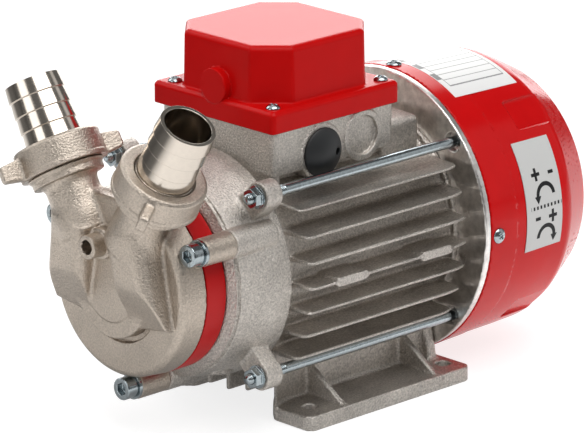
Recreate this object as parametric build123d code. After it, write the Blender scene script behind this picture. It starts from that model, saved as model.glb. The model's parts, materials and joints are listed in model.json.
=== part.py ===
from build123d import *
from math import cos, radians, sin, sqrt, tan
import os

os.makedirs("parts", exist_ok=True)

# Electric transfer pump: a cast pump head with two hose unions, bolted to a
# finned motor that stands on two feet. Millimetres, +Z up. X runs along the
# shaft from the pump head (minus) to the fan (plus). The origin is the middle
# of the four foot holes, on the underside of the feet.

# Clearances
seat_gap = 0.02
running_gap = 0.06
face_gap = 0.05
hole_gap = 0.2

# Shaft line and the lengths that stack up along it
shaft_height = 69.5
housing_rear_x = 45.9
finned_length = 101.9
collar_length = 12.0
bell_length = 19.8
spigot_length = 2.5
spacer_length = 12.4
skirt_length = 13.1
cover_disc_rise = 4.6

collar_rear_x = housing_rear_x - finned_length
collar_front_x = collar_rear_x - collar_length
bell_front_x = collar_front_x - bell_length
housing_front_x = bell_front_x - spigot_length
joint_x = housing_front_x - spacer_length
rim_x = joint_x - skirt_length
disc_x = rim_x - cover_disc_rise

# Motor housing casting
core_radius = 43.0
housing_wall = 4.5
collar_radius = 50.7
spigot_radius = 47.0
spigot_groove = 0.9
rear_rim_radius = 47.5
rear_rim_length = 3.4
motor_bore_radius = core_radius - housing_wall
pump_wall = 8.0
bell_cavity_radius = 37.0
motor_wall = 12.0
drain_radius = 6.7
drain_offset_y = 17.0
wiring_hole_radius = 4.0

fin_count = 7
fin_pitch = 11.3
fin_drop = 2.3
fin_thickness = 2.2
fin_envelope = 59.3
fin_rear_setback = 3.0
fin_corner_radius = 4.0
fin_ramp_slope = 1.1
belly_fin_count = 4
belly_fin_pitch = 12.0
belly_fin_envelope = 61.0
pad_length = 18.0
pad_height = 4.5
pad_stations = (-38.9, 12.2)
pad_reach = 1.9

# Feet
foot_hole_pitch_x = 84.0
foot_hole_pitch_y = 87.0
foot_hole_radius = 3.5
foot_plate_height = 6.8
foot_front_overhang = 11.2
foot_rear_overhang = 7.5
foot_outer_y = 55.0
foot_wall_y = 30.0
foot_wall_thickness = 5.0
foot_corner = 3.0
foot_toe = 7.5
end_rib_thickness = 2.6
end_rib_spread = 7.5
gusset_thickness = 3.2
gusset_height = 15.0
gusset_pitch = 58.0

# Tie rods and their cast lugs
tie_rod_y = 44.5
tie_rod_z = 40.7
tie_rod_radius = 2.4
tie_rod_front_reach = 2.2
tie_rod_thread = 8.0
tie_nut_flange_radius = 5.6
tie_nut_flange = 1.0
tie_nut_across_flats = 8.0
tie_nut_height = 3.7
lug_radius = 6.5
lug_length = 9.0
lug_rear_offset = 9.4

# Terminal box
box_front_x = -56.6
box_rear_x = 18.4
box_half_width = 35.5
box_bottom_z = shaft_height + core_radius + 0.2
box_height = 20.2
box_top_z = box_bottom_z + box_height
box_wall = 4.0
box_floor = 3.0
box_corner = 3.5
box_neck_half_width = 26.0
apron_depth = 7.0
apron_half_width = 33.0
rear_block_end_x = 40.0
rear_block_half_width = 30.0
rear_block_top_z = box_bottom_z + 0.436 * box_height
grommet_x = -27.3
grommet_z = box_bottom_z + 0.302 * box_height
grommet_radius = 11.0
grommet_bulge = 4.2
grommet_hole_radius = 7.5
grommet_depth = 8.0
grommet_pad_radius = 12.6
grommet_pad_rise = 0.6
cable_hole_radius = 1.3
knockout_x = -2.0
knockout_z = box_bottom_z + 0.426 * box_height
knockout_radius = 9.3
knockout_depth = 1.6
knockout_pad_radius = 11.6
lid_gasket_thickness = 0.8
lid_gasket_inset = 1.0

lid_overhang = 1.5
lid_flange_height = 9.0
lid_flange_chamfer = 1.2
lid_step_x = 3.4
lid_step_y = 3.5
lid_corner_cut = 13.0
lid_crown_height = 25.3
lid_wall = 2.6
lid_edge_radius = 1.8
lid_boss_radius = 6.4
lid_boss_height = 14.0
lid_boss_rise = 2.6
lid_boss_y = -4.0
lid_screw_inset = 6.0
lid_screw_radius = 1.9
lid_screw_head_radius = 3.3
lid_screw_head = 2.2
lid_screw_length = 18.0

terminal_block_length = 34.0
terminal_block_width = 20.0
terminal_block_height = 11.0
terminal_count = 3

# Rear shield and fan cover
shield_radius = 66.0
shield_rim_length = 3.4
shield_register_length = 8.6
shield_spigot = 3.0
tie_hole_radius = 4.4
tie_hole_depth = 3.0
fan_cover_front_radius = shield_radius + 0.3
fan_cover_taper = 1.7
fan_cover_length = 74.4
fan_cover_chamfer = 21.0
fan_cover_end_radius = fan_cover_front_radius - 12.3
fan_cover_wall = 1.5
fan_cover_step = 17.0
fan_cover_step_rise = 0.35
pocket_width = 17.0
pocket_length = 27.0
pocket_floor_radius = fan_cover_end_radius + 1.5
pocket_corner = 3.0
vent_count = 20
vent_inner_radius = 26.0
vent_outer_radius = 47.0
vent_width = 4.0
cover_bolt_radius = 2.0
cover_bolt_length = 9.0
cover_bolt_head_radius = 3.6
cover_bolt_head = 2.0
cover_bolt_x = 4.6

# Shaft, bearings and seal
shaft_radius = 6.0
impeller_seat_radius = 5.0
nut_thread_radius = 4.0
bearing_radius = 16.0
bearing_width = 10.0
bearing_inner_radius = 8.6
bearing_shoulder = 2.0
seal_radius = 11.5
seal_length = 6.4
flinger_radius = 15.0
flinger_thickness = 1.6
shield_back_wall = 3.0
wave_washer_length = 1.2
fan_hub_x = 24.0

# Motor internals
armature_radius = 28.0
armature_length = 50.0
armature_front_gap = 20.0
armature_slots = 12
slot_width = 3.0
slot_depth = 11.0
winding_outer_radius = 25.5
winding_inner_radius = 8.0
winding_overhang = 8.0
commutator_radius = 14.0
commutator_length = 15.0
magnet_gap = 1.0
magnet_arc = 130.0
magnet_overhang = 2.0
brush_length = 12.0
brush_width = 6.0
brush_thickness = 9.0
brush_guide_wall = 1.2
brush_guide_reach = 19.0
brush_plate_thickness = 2.6
brush_spring_thickness = 0.5

# Fan
fan_radius = 56.0
fan_hub_radius = 11.0
fan_length = 17.0
fan_disc_radius = 34.0
fan_disc_thickness = 2.0
fan_blades = 9
fan_blade_thickness = 2.0
circlip_radius = 8.6
circlip_thickness = 1.1

# Pump head
cover_rear_radius = 42.3
cover_rim_radius = 41.2
cover_edge_radius = 3.0
cover_disc_radius = 23.0
cover_groove_width = 2.0
cover_groove_depth = 1.2
spacer_radius = 41.0
chamber_radius = 36.0
chamber_gasket = 0.5
cover_bolt_circle = 48.0
head_bolt_angles = (30.0, 150.0, 270.0)
head_bolt_radius = 2.95
head_bolt_head_radius = 5.0
head_bolt_head = 6.0
head_bolt_socket_radius = 2.5
head_bolt_length = 33.0
head_washer_radius = 6.0
head_washer = 1.6
head_boss_radius = 6.75
head_boss_front = 4.4
housing_boss_length = 28.0

port_x = -119.6
port_tilt = 31.0
port_tube_radius = 11.8
port_bore_radius = 9.0
port_collar_start = 48.5
port_collar_end = 53.2
port_thread_radius = 16.2
port_face = 62.0
port_foot = 26.0
leg_radius = 12.2
leg_top_y = 17.0
leg_top_z = 27.0
leg_foot_y = 24.5
leg_foot_z = -14.0
leg_x = -116.6
leg_cut_front_z = 6.5
leg_cut_angle = 57.0
web_front_x = -121.0
web_low_z = 17.0
web_high_z = 41.0
vent_boss_z = 20.8
vent_collar_radius = 7.0
vent_collar_x = -126.0
vent_boss_radius = 5.3
vent_boss_x = -133.6
vent_hole_radius = 3.15
vent_hole_depth = 10.0

# Unions: distances are counted from the shaft line along each port
union_gasket = 1.5
tail_flange = 2.5
tail_flange_radius = 15.8
tail_bore_radius = 10.6
tail_neck_radius = 13.3
tail_length = 96.2
barb_count = 4
barb_pitch = 7.1
barb_crest_radius = 13.0
barb_root_radius = 12.4
nut_bottom = 55.0
nut_flange = 2.0
nut_radius = 19.6
nut_hole_radius = 13.9
nut_chamfer = 1.0
wing_reach = 9.5
wing_root_height = 10.0
wing_tip_height = 7.2
wing_thickness = 4.4
wing_middle_rise = 5.3
near_wing_turn = 36.0
far_wing_turn = -18.0

# Impeller
impeller_radius = 33.0
impeller_side_gap = 0.8
impeller_hub_radius = 9.5
impeller_vanes = 12
impeller_vane_thickness = 2.6
impeller_web = 2.4
key_width = 3.0
key_height = 3.0
shaft_nut_across_flats = 12.0
shaft_nut_height = 5.5
shaft_nut_pocket_radius = 9.0

shaft_axis = Axis((0, 0, shaft_height), (1, 0, 0))


def turned(points, arc=360.0, start=0.0):
    """Solid turned about the shaft from (x, radius) points; start turns it from +Z towards -Y."""
    outline = Polyline(*[(x, 0, shaft_height + r) for x, r in points], close=True)
    solid = revolve(make_face(outline), axis=shaft_axis, revolution_arc=arc)
    return solid.rotate(shaft_axis, start)


def rod(radius, start, end):
    """Cylinder between two points."""
    run = Vector(*end) - Vector(*start)
    plane = Plane(origin=start, z_dir=run)
    return plane * Cylinder(radius, run.length, align=(Align.CENTER, Align.CENTER, Align.MIN))


def on_shaft(radius, x0, x1, y=0.0, z=0.0):
    """Cylinder along X, placed from the shaft line."""
    return rod(radius, (x0, y, shaft_height + z), (x1, y, shaft_height + z))


def block(x0, x1, y0, y1, z0, z1):
    """Box between two corners."""
    return Pos((x0 + x1) / 2, (y0 + y1) / 2, (z0 + z1) / 2) * Box(x1 - x0, y1 - y0, z1 - z0)


def hexagon_x(across_flats, x0, x1, y, z):
    """Hexagonal prism along X."""
    plane = Plane(origin=(x0, y, z), z_dir=(1, 0, 0))
    return extrude(plane * RegularPolygon(across_flats / sqrt(3), 6), x1 - x0)


def around(radius, angle):
    """Y and Z offsets from the shaft at an angle measured from -Y towards +Z."""
    return -radius * cos(radians(angle)), radius * sin(radians(angle))


def export(name, shape):
    shape.label = name
    export_step(shape, f"parts/{name}.step")


def group(solids):
    return Compound(children=list(solids))


tie_points = [(side * tie_rod_y, level * tie_rod_z) for side in (-1, 1) for level in (-1, 1)]
lug_rear_x = collar_rear_x - lug_rear_offset
lug_front_x = lug_rear_x - lug_length
head_bolt_points = [around(cover_bolt_circle, a) for a in head_bolt_angles]
bearing_front_x = collar_front_x + bearing_shoulder
motor_cavity_front_x = collar_front_x + motor_wall
foot_front_x = -foot_hole_pitch_x / 2 - foot_front_overhang
foot_rear_x = foot_hole_pitch_x / 2 + foot_rear_overhang


# Motor housing: one casting with the bell, fins, box base, lugs and feet

def housing_body():
    """Turned core, collar and bell, solid."""
    return turned([
        (housing_front_x, 0),
        (housing_front_x, spigot_radius),
        (bell_front_x, spigot_radius),
        (bell_front_x, spigot_radius - spigot_groove),
        (bell_front_x + spigot_groove, spigot_radius - spigot_groove),
        (bell_front_x + spigot_groove, spigot_radius),
        (collar_front_x, collar_radius),
        (collar_rear_x, collar_radius),
        (collar_rear_x, core_radius),
        (housing_rear_x - rear_rim_length, core_radius),
        (housing_rear_x - rear_rim_length, rear_rim_radius),
        (housing_rear_x, rear_rim_radius),
        (housing_rear_x, 0),
    ])


def side_fin(level):
    """One plate right through the core, so that it stands out as a fin on both sides.

    At the front it starts flush with the collar and widens to its full reach.
    """
    height = shaft_height - fin_drop + level * fin_pitch
    offset = height - shaft_height
    reach = sqrt(fin_envelope ** 2 - offset ** 2)
    root = sqrt(collar_radius ** 2 - offset ** 2)
    shoulder = collar_rear_x + (reach - root) / fin_ramp_slope
    rear = housing_rear_x - fin_rear_setback
    near_side = [(collar_rear_x - 1, -root), (collar_rear_x, -root), (shoulder, -reach), (rear, -reach)]
    far_side = [(x, -y) for x, y in reversed(near_side)]
    points = [(x, y, height - fin_thickness / 2) for x, y in near_side + far_side]
    fin = extrude(make_face(Polyline(*points, close=True)), fin_thickness, dir=(0, 0, 1))
    corners = [edge for edge in fin.edges().filter_by(Axis.Z) if edge.center().X > shoulder - fin_thickness]
    return fillet(corners, fin_corner_radius)


def fin_pads():
    """Ejector pads cast on the middle fin, on both sides."""
    height = shaft_height - fin_drop
    reach = fin_envelope + pad_reach
    return [
        block(x - pad_length / 2, x + pad_length / 2, -reach, reach,
              height - pad_height / 2, height + pad_height / 2)
        for x in pad_stations
    ]


def belly_fins():
    fins = []
    for index in range(belly_fin_count):
        y = (index - (belly_fin_count - 1) / 2) * belly_fin_pitch
        drop = sqrt(belly_fin_envelope ** 2 - y ** 2)
        fins.append(block(
            collar_rear_x - 1, housing_rear_x - fin_rear_setback,
            y - fin_thickness / 2, y + fin_thickness / 2,
            shaft_height - drop, shaft_height))
    return fins


def tie_lugs():
    """Round lugs for the tie rods, each with a web to the collar."""
    lugs = []
    for y, z in tie_points:
        lugs.append(on_shaft(lug_radius, lug_front_x, lug_rear_x, y, z))
        reach = sqrt(y * y + z * z)
        web = Pos(reach / 2, 0, 0) * Box(reach, 2 * lug_radius, lug_length)
        plane = Plane(
            origin=((lug_front_x + lug_rear_x) / 2, 0, shaft_height),
            x_dir=(0, y, z), z_dir=(1, 0, 0))
        lugs.append(plane * web)
    return lugs


def head_bosses():
    return [
        on_shaft(head_boss_radius, housing_front_x, housing_front_x + housing_boss_length, y, z)
        for y, z in head_bolt_points
    ]


def terminal_box_base():
    base = block(box_front_x, box_rear_x, -box_half_width, box_half_width, box_bottom_z, box_top_z)
    base = fillet(base.edges().filter_by(Axis.Z), box_corner)
    neck = block(box_front_x + box_corner, box_rear_x, -box_neck_half_width, box_neck_half_width,
                 shaft_height, box_bottom_z + 1)
    apron = block(box_front_x, box_front_x + apron_depth, -apron_half_width, apron_half_width,
                  shaft_height + core_radius * 0.67, box_bottom_z + 1)
    duct = block(box_rear_x - 1, rear_block_end_x, -rear_block_half_width, rear_block_half_width,
                 shaft_height + core_radius * 0.8, rear_block_top_z)
    duct = fillet(duct.edges().filter_by(Axis.X).group_by(Axis.Z)[-1], box_corner)
    grommet_pad = rod(
        grommet_pad_radius,
        (grommet_x, -box_half_width - grommet_pad_rise, grommet_z),
        (grommet_x, -box_neck_half_width + 1, grommet_z))
    knockout_pad = rod(
        knockout_pad_radius,
        (knockout_x, -box_half_width, knockout_z),
        (knockout_x, -box_neck_half_width + 1, knockout_z))
    pads = grommet_pad + knockout_pad
    ceiling = block(box_front_x, box_rear_x, -2 * box_half_width, 0, box_top_z, 2 * box_top_z)
    return [base, neck, apron, duct, pads - ceiling]


def foot(side):
    """One foot: plate, wall up to the core with an end rib, two gussets. side is -1 near, 1 far."""
    inner = side * (foot_wall_y - foot_wall_thickness)
    outer = side * foot_outer_y
    plate = block(foot_front_x, foot_rear_x, min(inner, outer), max(inner, outer), 0, foot_plate_height)
    edges = plate.edges().filter_by(Axis.Z).group_by(Axis.Y)[0 if side < 0 else -1]
    plate = chamfer(edges, foot_corner)
    toe = plate.edges().filter_by(Axis.Z).group_by(Axis.Y)[-1 if side < 0 else 0].sort_by(Axis.X)[0]
    plate = chamfer(toe, foot_toe)
    face = side * foot_wall_y
    wall_top = shaft_height - sqrt(core_radius ** 2 - foot_wall_y ** 2) + 1
    wall_rear_x = housing_rear_x - fin_rear_setback
    plan = Polyline(
        (foot_front_x + foot_toe, inner, 0),
        (foot_front_x, side * (foot_wall_y - foot_wall_thickness + foot_toe), 0),
        (foot_front_x, side * (foot_wall_y + foot_toe / 2), 0),
        (foot_front_x + 2 * foot_toe, face, 0),
        (wall_rear_x, face, 0),
        (wall_rear_x, inner, 0),
        close=True)
    wall = extrude(make_face(plan), wall_top, dir=(0, 0, 1))
    rib = Polyline(
        (wall_rear_x - end_rib_thickness, inner, foot_plate_height / 2),
        (wall_rear_x - end_rib_thickness, side * (foot_wall_y + end_rib_spread), foot_plate_height / 2),
        (wall_rear_x - end_rib_thickness, face, wall_top),
        (wall_rear_x - end_rib_thickness, inner, wall_top),
        close=True)
    end_rib = extrude(make_face(rib), 2 * end_rib_thickness, dir=(1, 0, 0))
    gussets = []
    for x in (-gusset_pitch / 2, gusset_pitch / 2):
        profile = Polyline(
            (x - gusset_thickness / 2, side * (foot_wall_y - 1), foot_plate_height - 1),
            (x - gusset_thickness / 2, side * (foot_outer_y - foot_corner), foot_plate_height - 1),
            (x - gusset_thickness / 2, side * (foot_outer_y - foot_corner), foot_plate_height),
            (x - gusset_thickness / 2, side * foot_wall_y, foot_plate_height + gusset_height),
            (x - gusset_thickness / 2, side * (foot_wall_y - 1), foot_plate_height + gusset_height),
            close=True)
        gussets.append(extrude(make_face(profile), gusset_thickness, dir=(1, 0, 0)))
    return [plate, wall, end_rib] + gussets


def housing_cavities():
    """Everything machined or cored out of the casting."""
    cuts = [
        on_shaft(bell_cavity_radius, housing_front_x + pump_wall, collar_front_x),
        on_shaft(motor_bore_radius, motor_cavity_front_x, housing_rear_x),
        on_shaft(bearing_radius + seat_gap, bearing_front_x, motor_cavity_front_x),
        on_shaft(bearing_radius - bearing_shoulder, collar_front_x, motor_cavity_front_x),
        on_shaft(seal_radius + seat_gap, housing_front_x, housing_front_x + pump_wall),
    ]
    for y, z in tie_points:
        cuts.append(on_shaft(tie_rod_radius + hole_gap, lug_front_x, lug_rear_x, y, z))
    bolt_tip = housing_front_x - head_boss_front_run() + head_bolt_length
    for y, z in head_bolt_points:
        cuts.append(on_shaft(head_bolt_radius + seat_gap, housing_front_x, bolt_tip + 1, y, z))
    for side in (-1, 1):
        y = side * drain_offset_y
        x = (bell_front_x + collar_front_x) / 2 + spigot_length
        cuts.append(rod(drain_radius, (x, y, 0), (x, y, shaft_height - bell_cavity_radius / 2)))
        for hole_x in (-foot_hole_pitch_x / 2, foot_hole_pitch_x / 2):
            hole_y = side * foot_hole_pitch_y / 2
            cuts.append(rod(foot_hole_radius, (hole_x, hole_y, 0), (hole_x, hole_y, foot_plate_height)))
    inside = block(box_front_x + box_wall, box_rear_x - box_wall,
                   -box_half_width + box_wall, box_half_width - box_wall,
                   box_bottom_z + box_floor, box_top_z)
    posts = [
        rod(lid_screw_radius + box_wall, (x, y, box_bottom_z), (x, y, box_top_z))
        for x, y in lid_screw_points()
    ]
    cuts.append(inside - posts)
    for x, y in lid_screw_points():
        cuts.append(rod(lid_screw_radius + seat_gap,
                        (x, y, lid_screw_tip_z() - 1), (x, y, box_top_z)))
    cuts.append(rod(grommet_hole_radius,
                    (grommet_x, -box_half_width - grommet_pad_rise, grommet_z),
                    (grommet_x, -box_half_width - grommet_pad_rise + grommet_depth, grommet_z)))
    cuts.append(rod(knockout_radius, (knockout_x, -box_half_width, knockout_z),
                    (knockout_x, -box_half_width + knockout_depth, knockout_z)))
    cuts.append(rod(wiring_hole_radius, (wiring_x(), 0, shaft_height + motor_bore_radius - 2),
                    (wiring_x(), 0, box_bottom_z + box_floor + 1)))
    return cuts


def wiring_x():
    return box_rear_x - box_wall - 2 * wiring_hole_radius


def head_boss_front_run():
    """Length of bolt that lies ahead of the housing, under its head."""
    return housing_front_x - (joint_x - head_boss_front) + head_washer


def lid_screw_points():
    return [
        (x, y)
        for x in (box_front_x - lid_overhang + lid_screw_inset, box_rear_x + lid_overhang - lid_screw_inset)
        for y in (-box_half_width - lid_overhang + lid_screw_inset,
                  box_half_width + lid_overhang - lid_screw_inset)
    ]


lid_base_z = box_top_z + lid_gasket_thickness
lid_flange_top_z = lid_base_z + lid_flange_height
lid_top_z = lid_flange_top_z + lid_crown_height


def lid_screw_tip_z():
    return lid_flange_top_z - lid_screw_length


def motor_housing():
    solid = housing_body()
    half = (fin_count - 1) // 2
    additions = [side_fin(level) for level in range(-half, half + 1)]
    additions += fin_pads() + belly_fins() + tie_lugs() + head_bosses() + terminal_box_base()
    additions += foot(-1) + foot(1)
    solid = solid + additions
    return solid - housing_cavities()


# Terminal box lid, gasket, screws and terminals

def octagon(x0, x1, half, cut, z):
    """Rectangle with its four corners cut off, drawn at height z."""
    points = [
        (x0 + cut, -half, z), (x1 - cut, -half, z), (x1, -half + cut, z), (x1, half - cut, z),
        (x1 - cut, half, z), (x0 + cut, half, z), (x0, half - cut, z), (x0, -half + cut, z),
    ]
    return make_face(Polyline(*points, close=True))


def terminal_lid():
    x0 = box_front_x - lid_overhang
    x1 = box_rear_x + lid_overhang
    half = box_half_width + lid_overhang
    flange = block(x0, x1, -half, half, lid_base_z, lid_flange_top_z)
    flange = chamfer(flange.faces().sort_by(Axis.Z)[-1].edges(), lid_flange_chamfer)
    crown_x0 = x0 + lid_step_x
    crown_x1 = x1 - lid_step_x
    crown_half = half - lid_step_y
    crown = extrude(octagon(crown_x0, crown_x1, crown_half, lid_corner_cut, lid_flange_top_z - 1),
                    lid_crown_height + 1)
    crown = fillet(crown.faces().sort_by(Axis.Z)[-1].edges(), lid_edge_radius)
    boss = rod(lid_boss_radius,
               (crown_x0 - lid_boss_rise, lid_boss_y, lid_flange_top_z + lid_boss_height - lid_boss_radius),
               (crown_x0 + 1, lid_boss_y, lid_flange_top_z + lid_boss_height - lid_boss_radius))
    boss_foot = block(crown_x0 - lid_boss_rise, crown_x0 + 1,
                      lid_boss_y - lid_boss_radius, lid_boss_y + lid_boss_radius,
                      lid_flange_top_z - 1, lid_flange_top_z + lid_boss_height - lid_boss_radius)
    inner_cut = lid_corner_cut - lid_wall * (1 - tan(radians(22.5))) + lid_wall
    hollow = extrude(octagon(crown_x0 + lid_wall, crown_x1 - lid_wall, crown_half - lid_wall,
                             inner_cut, lid_base_z), lid_flange_height + lid_crown_height - lid_wall)
    holes = [
        rod(lid_screw_radius + hole_gap, (x, y, lid_base_z), (x, y, lid_flange_top_z))
        for x, y in lid_screw_points()
    ]
    return (flange + crown + boss + boss_foot) - hollow - holes


def lid_gasket():
    x0 = box_front_x + lid_gasket_inset
    x1 = box_rear_x - lid_gasket_inset
    half = box_half_width - lid_gasket_inset
    sheet = block(x0, x1, -half, half, box_top_z, lid_base_z)
    wall = box_wall - lid_gasket_inset
    window = block(x0 + wall, x1 - wall, -half + wall, half - wall, box_top_z, lid_base_z)
    posts = [
        rod(lid_screw_radius + box_wall, (x, y, box_top_z), (x, y, lid_base_z))
        for x, y in lid_screw_points()
    ]
    holes = [
        rod(lid_screw_radius + hole_gap, (x, y, box_top_z), (x, y, lid_base_z))
        for x, y in lid_screw_points()
    ]
    return sheet - (window - posts) - holes


def pan_head(radius, height):
    """Domed screw head standing on the XY plane."""
    head = Cylinder(radius, height, align=(Align.CENTER, Align.CENTER, Align.MIN))
    return fillet(head.edges().sort_by(Axis.Z)[-1], height * 0.7)


def lid_screws():
    screws = []
    for x, y in lid_screw_points():
        head = Pos(x, y, lid_flange_top_z) * pan_head(lid_screw_head_radius, lid_screw_head)
        shank = rod(lid_screw_radius, (x, y, lid_screw_tip_z()), (x, y, lid_flange_top_z))
        screws.append(head + shank)
    return group(screws)


def terminal_block():
    floor = box_bottom_z + box_floor
    middle = (box_front_x + box_rear_x) / 2 - 4 * wiring_hole_radius / 2
    body = block(middle - terminal_block_length / 2, middle + terminal_block_length / 2,
                 -terminal_block_width / 2, terminal_block_width / 2,
                 floor, floor + terminal_block_height)
    step = terminal_block_length / terminal_count
    cells = []
    screws = []
    for index in range(terminal_count):
        x = middle + (index - (terminal_count - 1) / 2) * step
        top = floor + terminal_block_height
        cells.append(block(x - step * 0.36, x + step * 0.36,
                           -terminal_block_width / 2 + 2, terminal_block_width / 2 - 2,
                           top - terminal_block_height * 0.5, top))
        bottom = top - terminal_block_height * 0.5
        clamp = block(x - step * 0.28, x + step * 0.28,
                      -terminal_block_width / 2 + 4, terminal_block_width / 2 - 4,
                      bottom, bottom + 1.5)
        screws.append(clamp + rod(step * 0.2, (x, 0, bottom), (x, 0, top - 0.6)))
    return body - cells, group(screws)


def cable_grommet():
    """Domed rubber plug with a small cable hole to one side."""
    face = -box_half_width - grommet_pad_rise
    plane = Plane(origin=(grommet_x, face, grommet_z), z_dir=(0, -1, 0))
    dome_radius = (grommet_radius ** 2 + grommet_bulge ** 2) / (2 * grommet_bulge)
    ball = Pos(0, 0, grommet_bulge - dome_radius) * Sphere(dome_radius)
    slab = Cylinder(grommet_radius, grommet_bulge, align=(Align.CENTER, Align.CENTER, Align.MIN))
    neck = Cylinder(grommet_hole_radius - seat_gap, grommet_depth - 1,
                    align=(Align.CENTER, Align.CENTER, Align.MAX))
    hole = Pos(grommet_radius * 0.62, -grommet_radius * 0.08, 0) * Cylinder(
        cable_hole_radius, 3 * grommet_bulge)
    return plane * ((slab & ball) + neck - hole)


# Shield, tie rods and their nuts

shield_rim_x = housing_rear_x + shield_rim_length
shield_back_x = shield_rim_x + shield_register_length
fan_cover_front_x = shield_rim_x + seat_gap
fan_cover_rear_x = shield_rim_x + fan_cover_length
register_radius = fan_cover_front_radius - fan_cover_wall - seat_gap
cover_bolt_station = shield_rim_x + cover_bolt_x
rear_bearing_x = housing_rear_x - shield_spigot
rear_bearing_end_x = rear_bearing_x + bearing_width
shield_seat_x = rear_bearing_end_x + wave_washer_length


def rear_shield():
    solid = turned([
        (housing_rear_x - shield_spigot, bearing_radius + seat_gap),
        (housing_rear_x - shield_spigot, motor_bore_radius - seat_gap),
        (housing_rear_x, motor_bore_radius - seat_gap),
        (housing_rear_x, shield_radius),
        (shield_rim_x, shield_radius),
        (shield_rim_x, register_radius),
        (shield_back_x, register_radius),
        (shield_back_x, shaft_radius + 2),
        (shield_seat_x, shaft_radius + 2),
        (shield_seat_x, bearing_radius + seat_gap),
    ])
    cuts = []
    for y, z in tie_points:
        cuts.append(on_shaft(tie_hole_radius, housing_rear_x, housing_rear_x + tie_hole_depth, y, z))
        cuts.append(on_shaft(tie_rod_radius + seat_gap, housing_rear_x,
                             housing_rear_x + tie_rod_thread, y, z))
    for start, end in cover_bolt_lines(cover_bolt_length):
        cuts.append(rod(cover_bolt_radius + seat_gap, start, end))
    return solid - cuts


def cover_bolt_lines(depth):
    """Start and end of the four radial fan cover bolts, from the cover inwards."""
    lines = []
    surface = fan_cover_front_radius
    for index in range(4):
        y, z = around(1.0, index * 90.0)
        lines.append((
            (cover_bolt_station, y * surface, shaft_height + z * surface),
            (cover_bolt_station, y * (surface - depth), shaft_height + z * (surface - depth))))
    return lines


def tie_rods():
    front = lug_front_x - tie_nut_flange - tie_nut_height - tie_rod_front_reach
    rear = housing_rear_x + tie_rod_thread - face_gap
    rods = []
    for y, z in tie_points:
        stud = on_shaft(tie_rod_radius, front, rear, y, z)
        rods.append(chamfer(stud.edges().group_by(Axis.X)[0], tie_rod_radius * 0.25))
    return group(rods)


def tie_rod_nuts():
    nuts = []
    for y, z in tie_points:
        back = lug_front_x
        flange_x = back - tie_nut_flange
        flange = on_shaft(tie_nut_flange_radius, flange_x, back, y, z)
        body = hexagon_x(tie_nut_across_flats, flange_x - tie_nut_height, flange_x, y, shaft_height + z)
        hole = on_shaft(tie_rod_radius + seat_gap, flange_x - tie_nut_height, back, y, z)
        nuts.append(flange + body - hole)
    return group(nuts)


# Fan cover and its screws

def fan_cover_outline(inset):
    """(x, radius) points of the cover, moved in by inset.

    The outside has a shallow step, and the inside is straight over the shield.
    """
    chamfer_x = fan_cover_rear_x - fan_cover_chamfer
    step_x = fan_cover_front_x + fan_cover_step
    front = [(fan_cover_front_x, 0), (fan_cover_front_x, fan_cover_front_radius - inset)]
    step = [
        (step_x, fan_cover_front_radius),
        (step_x, fan_cover_front_radius - fan_cover_step_rise),
    ]
    rear = [
        (chamfer_x, fan_cover_front_radius - fan_cover_taper - inset),
        (fan_cover_rear_x - inset, fan_cover_end_radius - inset),
        (fan_cover_rear_x - inset, 0),
    ]
    register = [(shield_back_x + seat_gap, fan_cover_front_radius - inset)]
    return front + (register if inset else step) + rear


def pocket_cutters(grow):
    """Four screw pockets, each a box that is open to the rear."""
    cutters = []
    half = pocket_width / 2 + grow
    floor = pocket_floor_radius - grow
    for index in range(4):
        angle = 45.0 + 90.0 * index
        start = fan_cover_rear_x - pocket_length - grow
        cutter = block(start, fan_cover_rear_x + 1, -half, half,
                       shaft_height + floor, shaft_height + 2 * floor)
        corners = cutter.edges().filter_by(Axis.Z).group_by(Axis.X)[0]
        cutter = fillet(corners, pocket_corner + grow)
        cutters.append(cutter.rotate(shaft_axis, angle))
    return cutters


def fan_cover():
    outside = turned(fan_cover_outline(0.0)) - pocket_cutters(0.0)
    inside = turned(fan_cover_outline(fan_cover_wall)) - pocket_cutters(fan_cover_wall)
    cuts = []
    for index in range(vent_count):
        slot = block(fan_cover_rear_x - 2 * fan_cover_wall, fan_cover_rear_x + 1,
                     -vent_width / 2, vent_width / 2,
                     shaft_height + vent_inner_radius, shaft_height + vent_outer_radius)
        cuts.append(slot.rotate(shaft_axis, 360.0 * index / vent_count))
    for start, end in cover_bolt_lines(2 * fan_cover_wall):
        cuts.append(rod(cover_bolt_radius + hole_gap, start, end))
    return outside - inside - cuts


def fan_cover_screws():
    screws = []
    for start, end in cover_bolt_lines(cover_bolt_length - 1):
        inward = Vector(*end) - Vector(*start)
        plane = Plane(origin=start, z_dir=-inward)
        head = plane * pan_head(cover_bolt_head_radius, cover_bolt_head)
        screws.append(head + rod(cover_bolt_radius, start, end))
    return group(screws)


# Rotor: shaft, armature, commutator, bearings' inner rings, impeller and fan

armature_front_x = motor_cavity_front_x + armature_front_gap
armature_rear_x = armature_front_x + armature_length
commutator_rear_x = housing_rear_x - shield_spigot - brush_plate_thickness - 1
commutator_front_x = commutator_rear_x - commutator_length
impeller_front_x = joint_x + chamber_gasket + impeller_side_gap
impeller_rear_x = housing_front_x - chamber_gasket - impeller_side_gap
fan_front_x = shield_back_x + fan_hub_x
fan_rear_x = fan_front_x + fan_length
shaft_front_x = impeller_front_x - shaft_nut_height - 1
shaft_rear_x = fan_rear_x + 4


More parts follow.
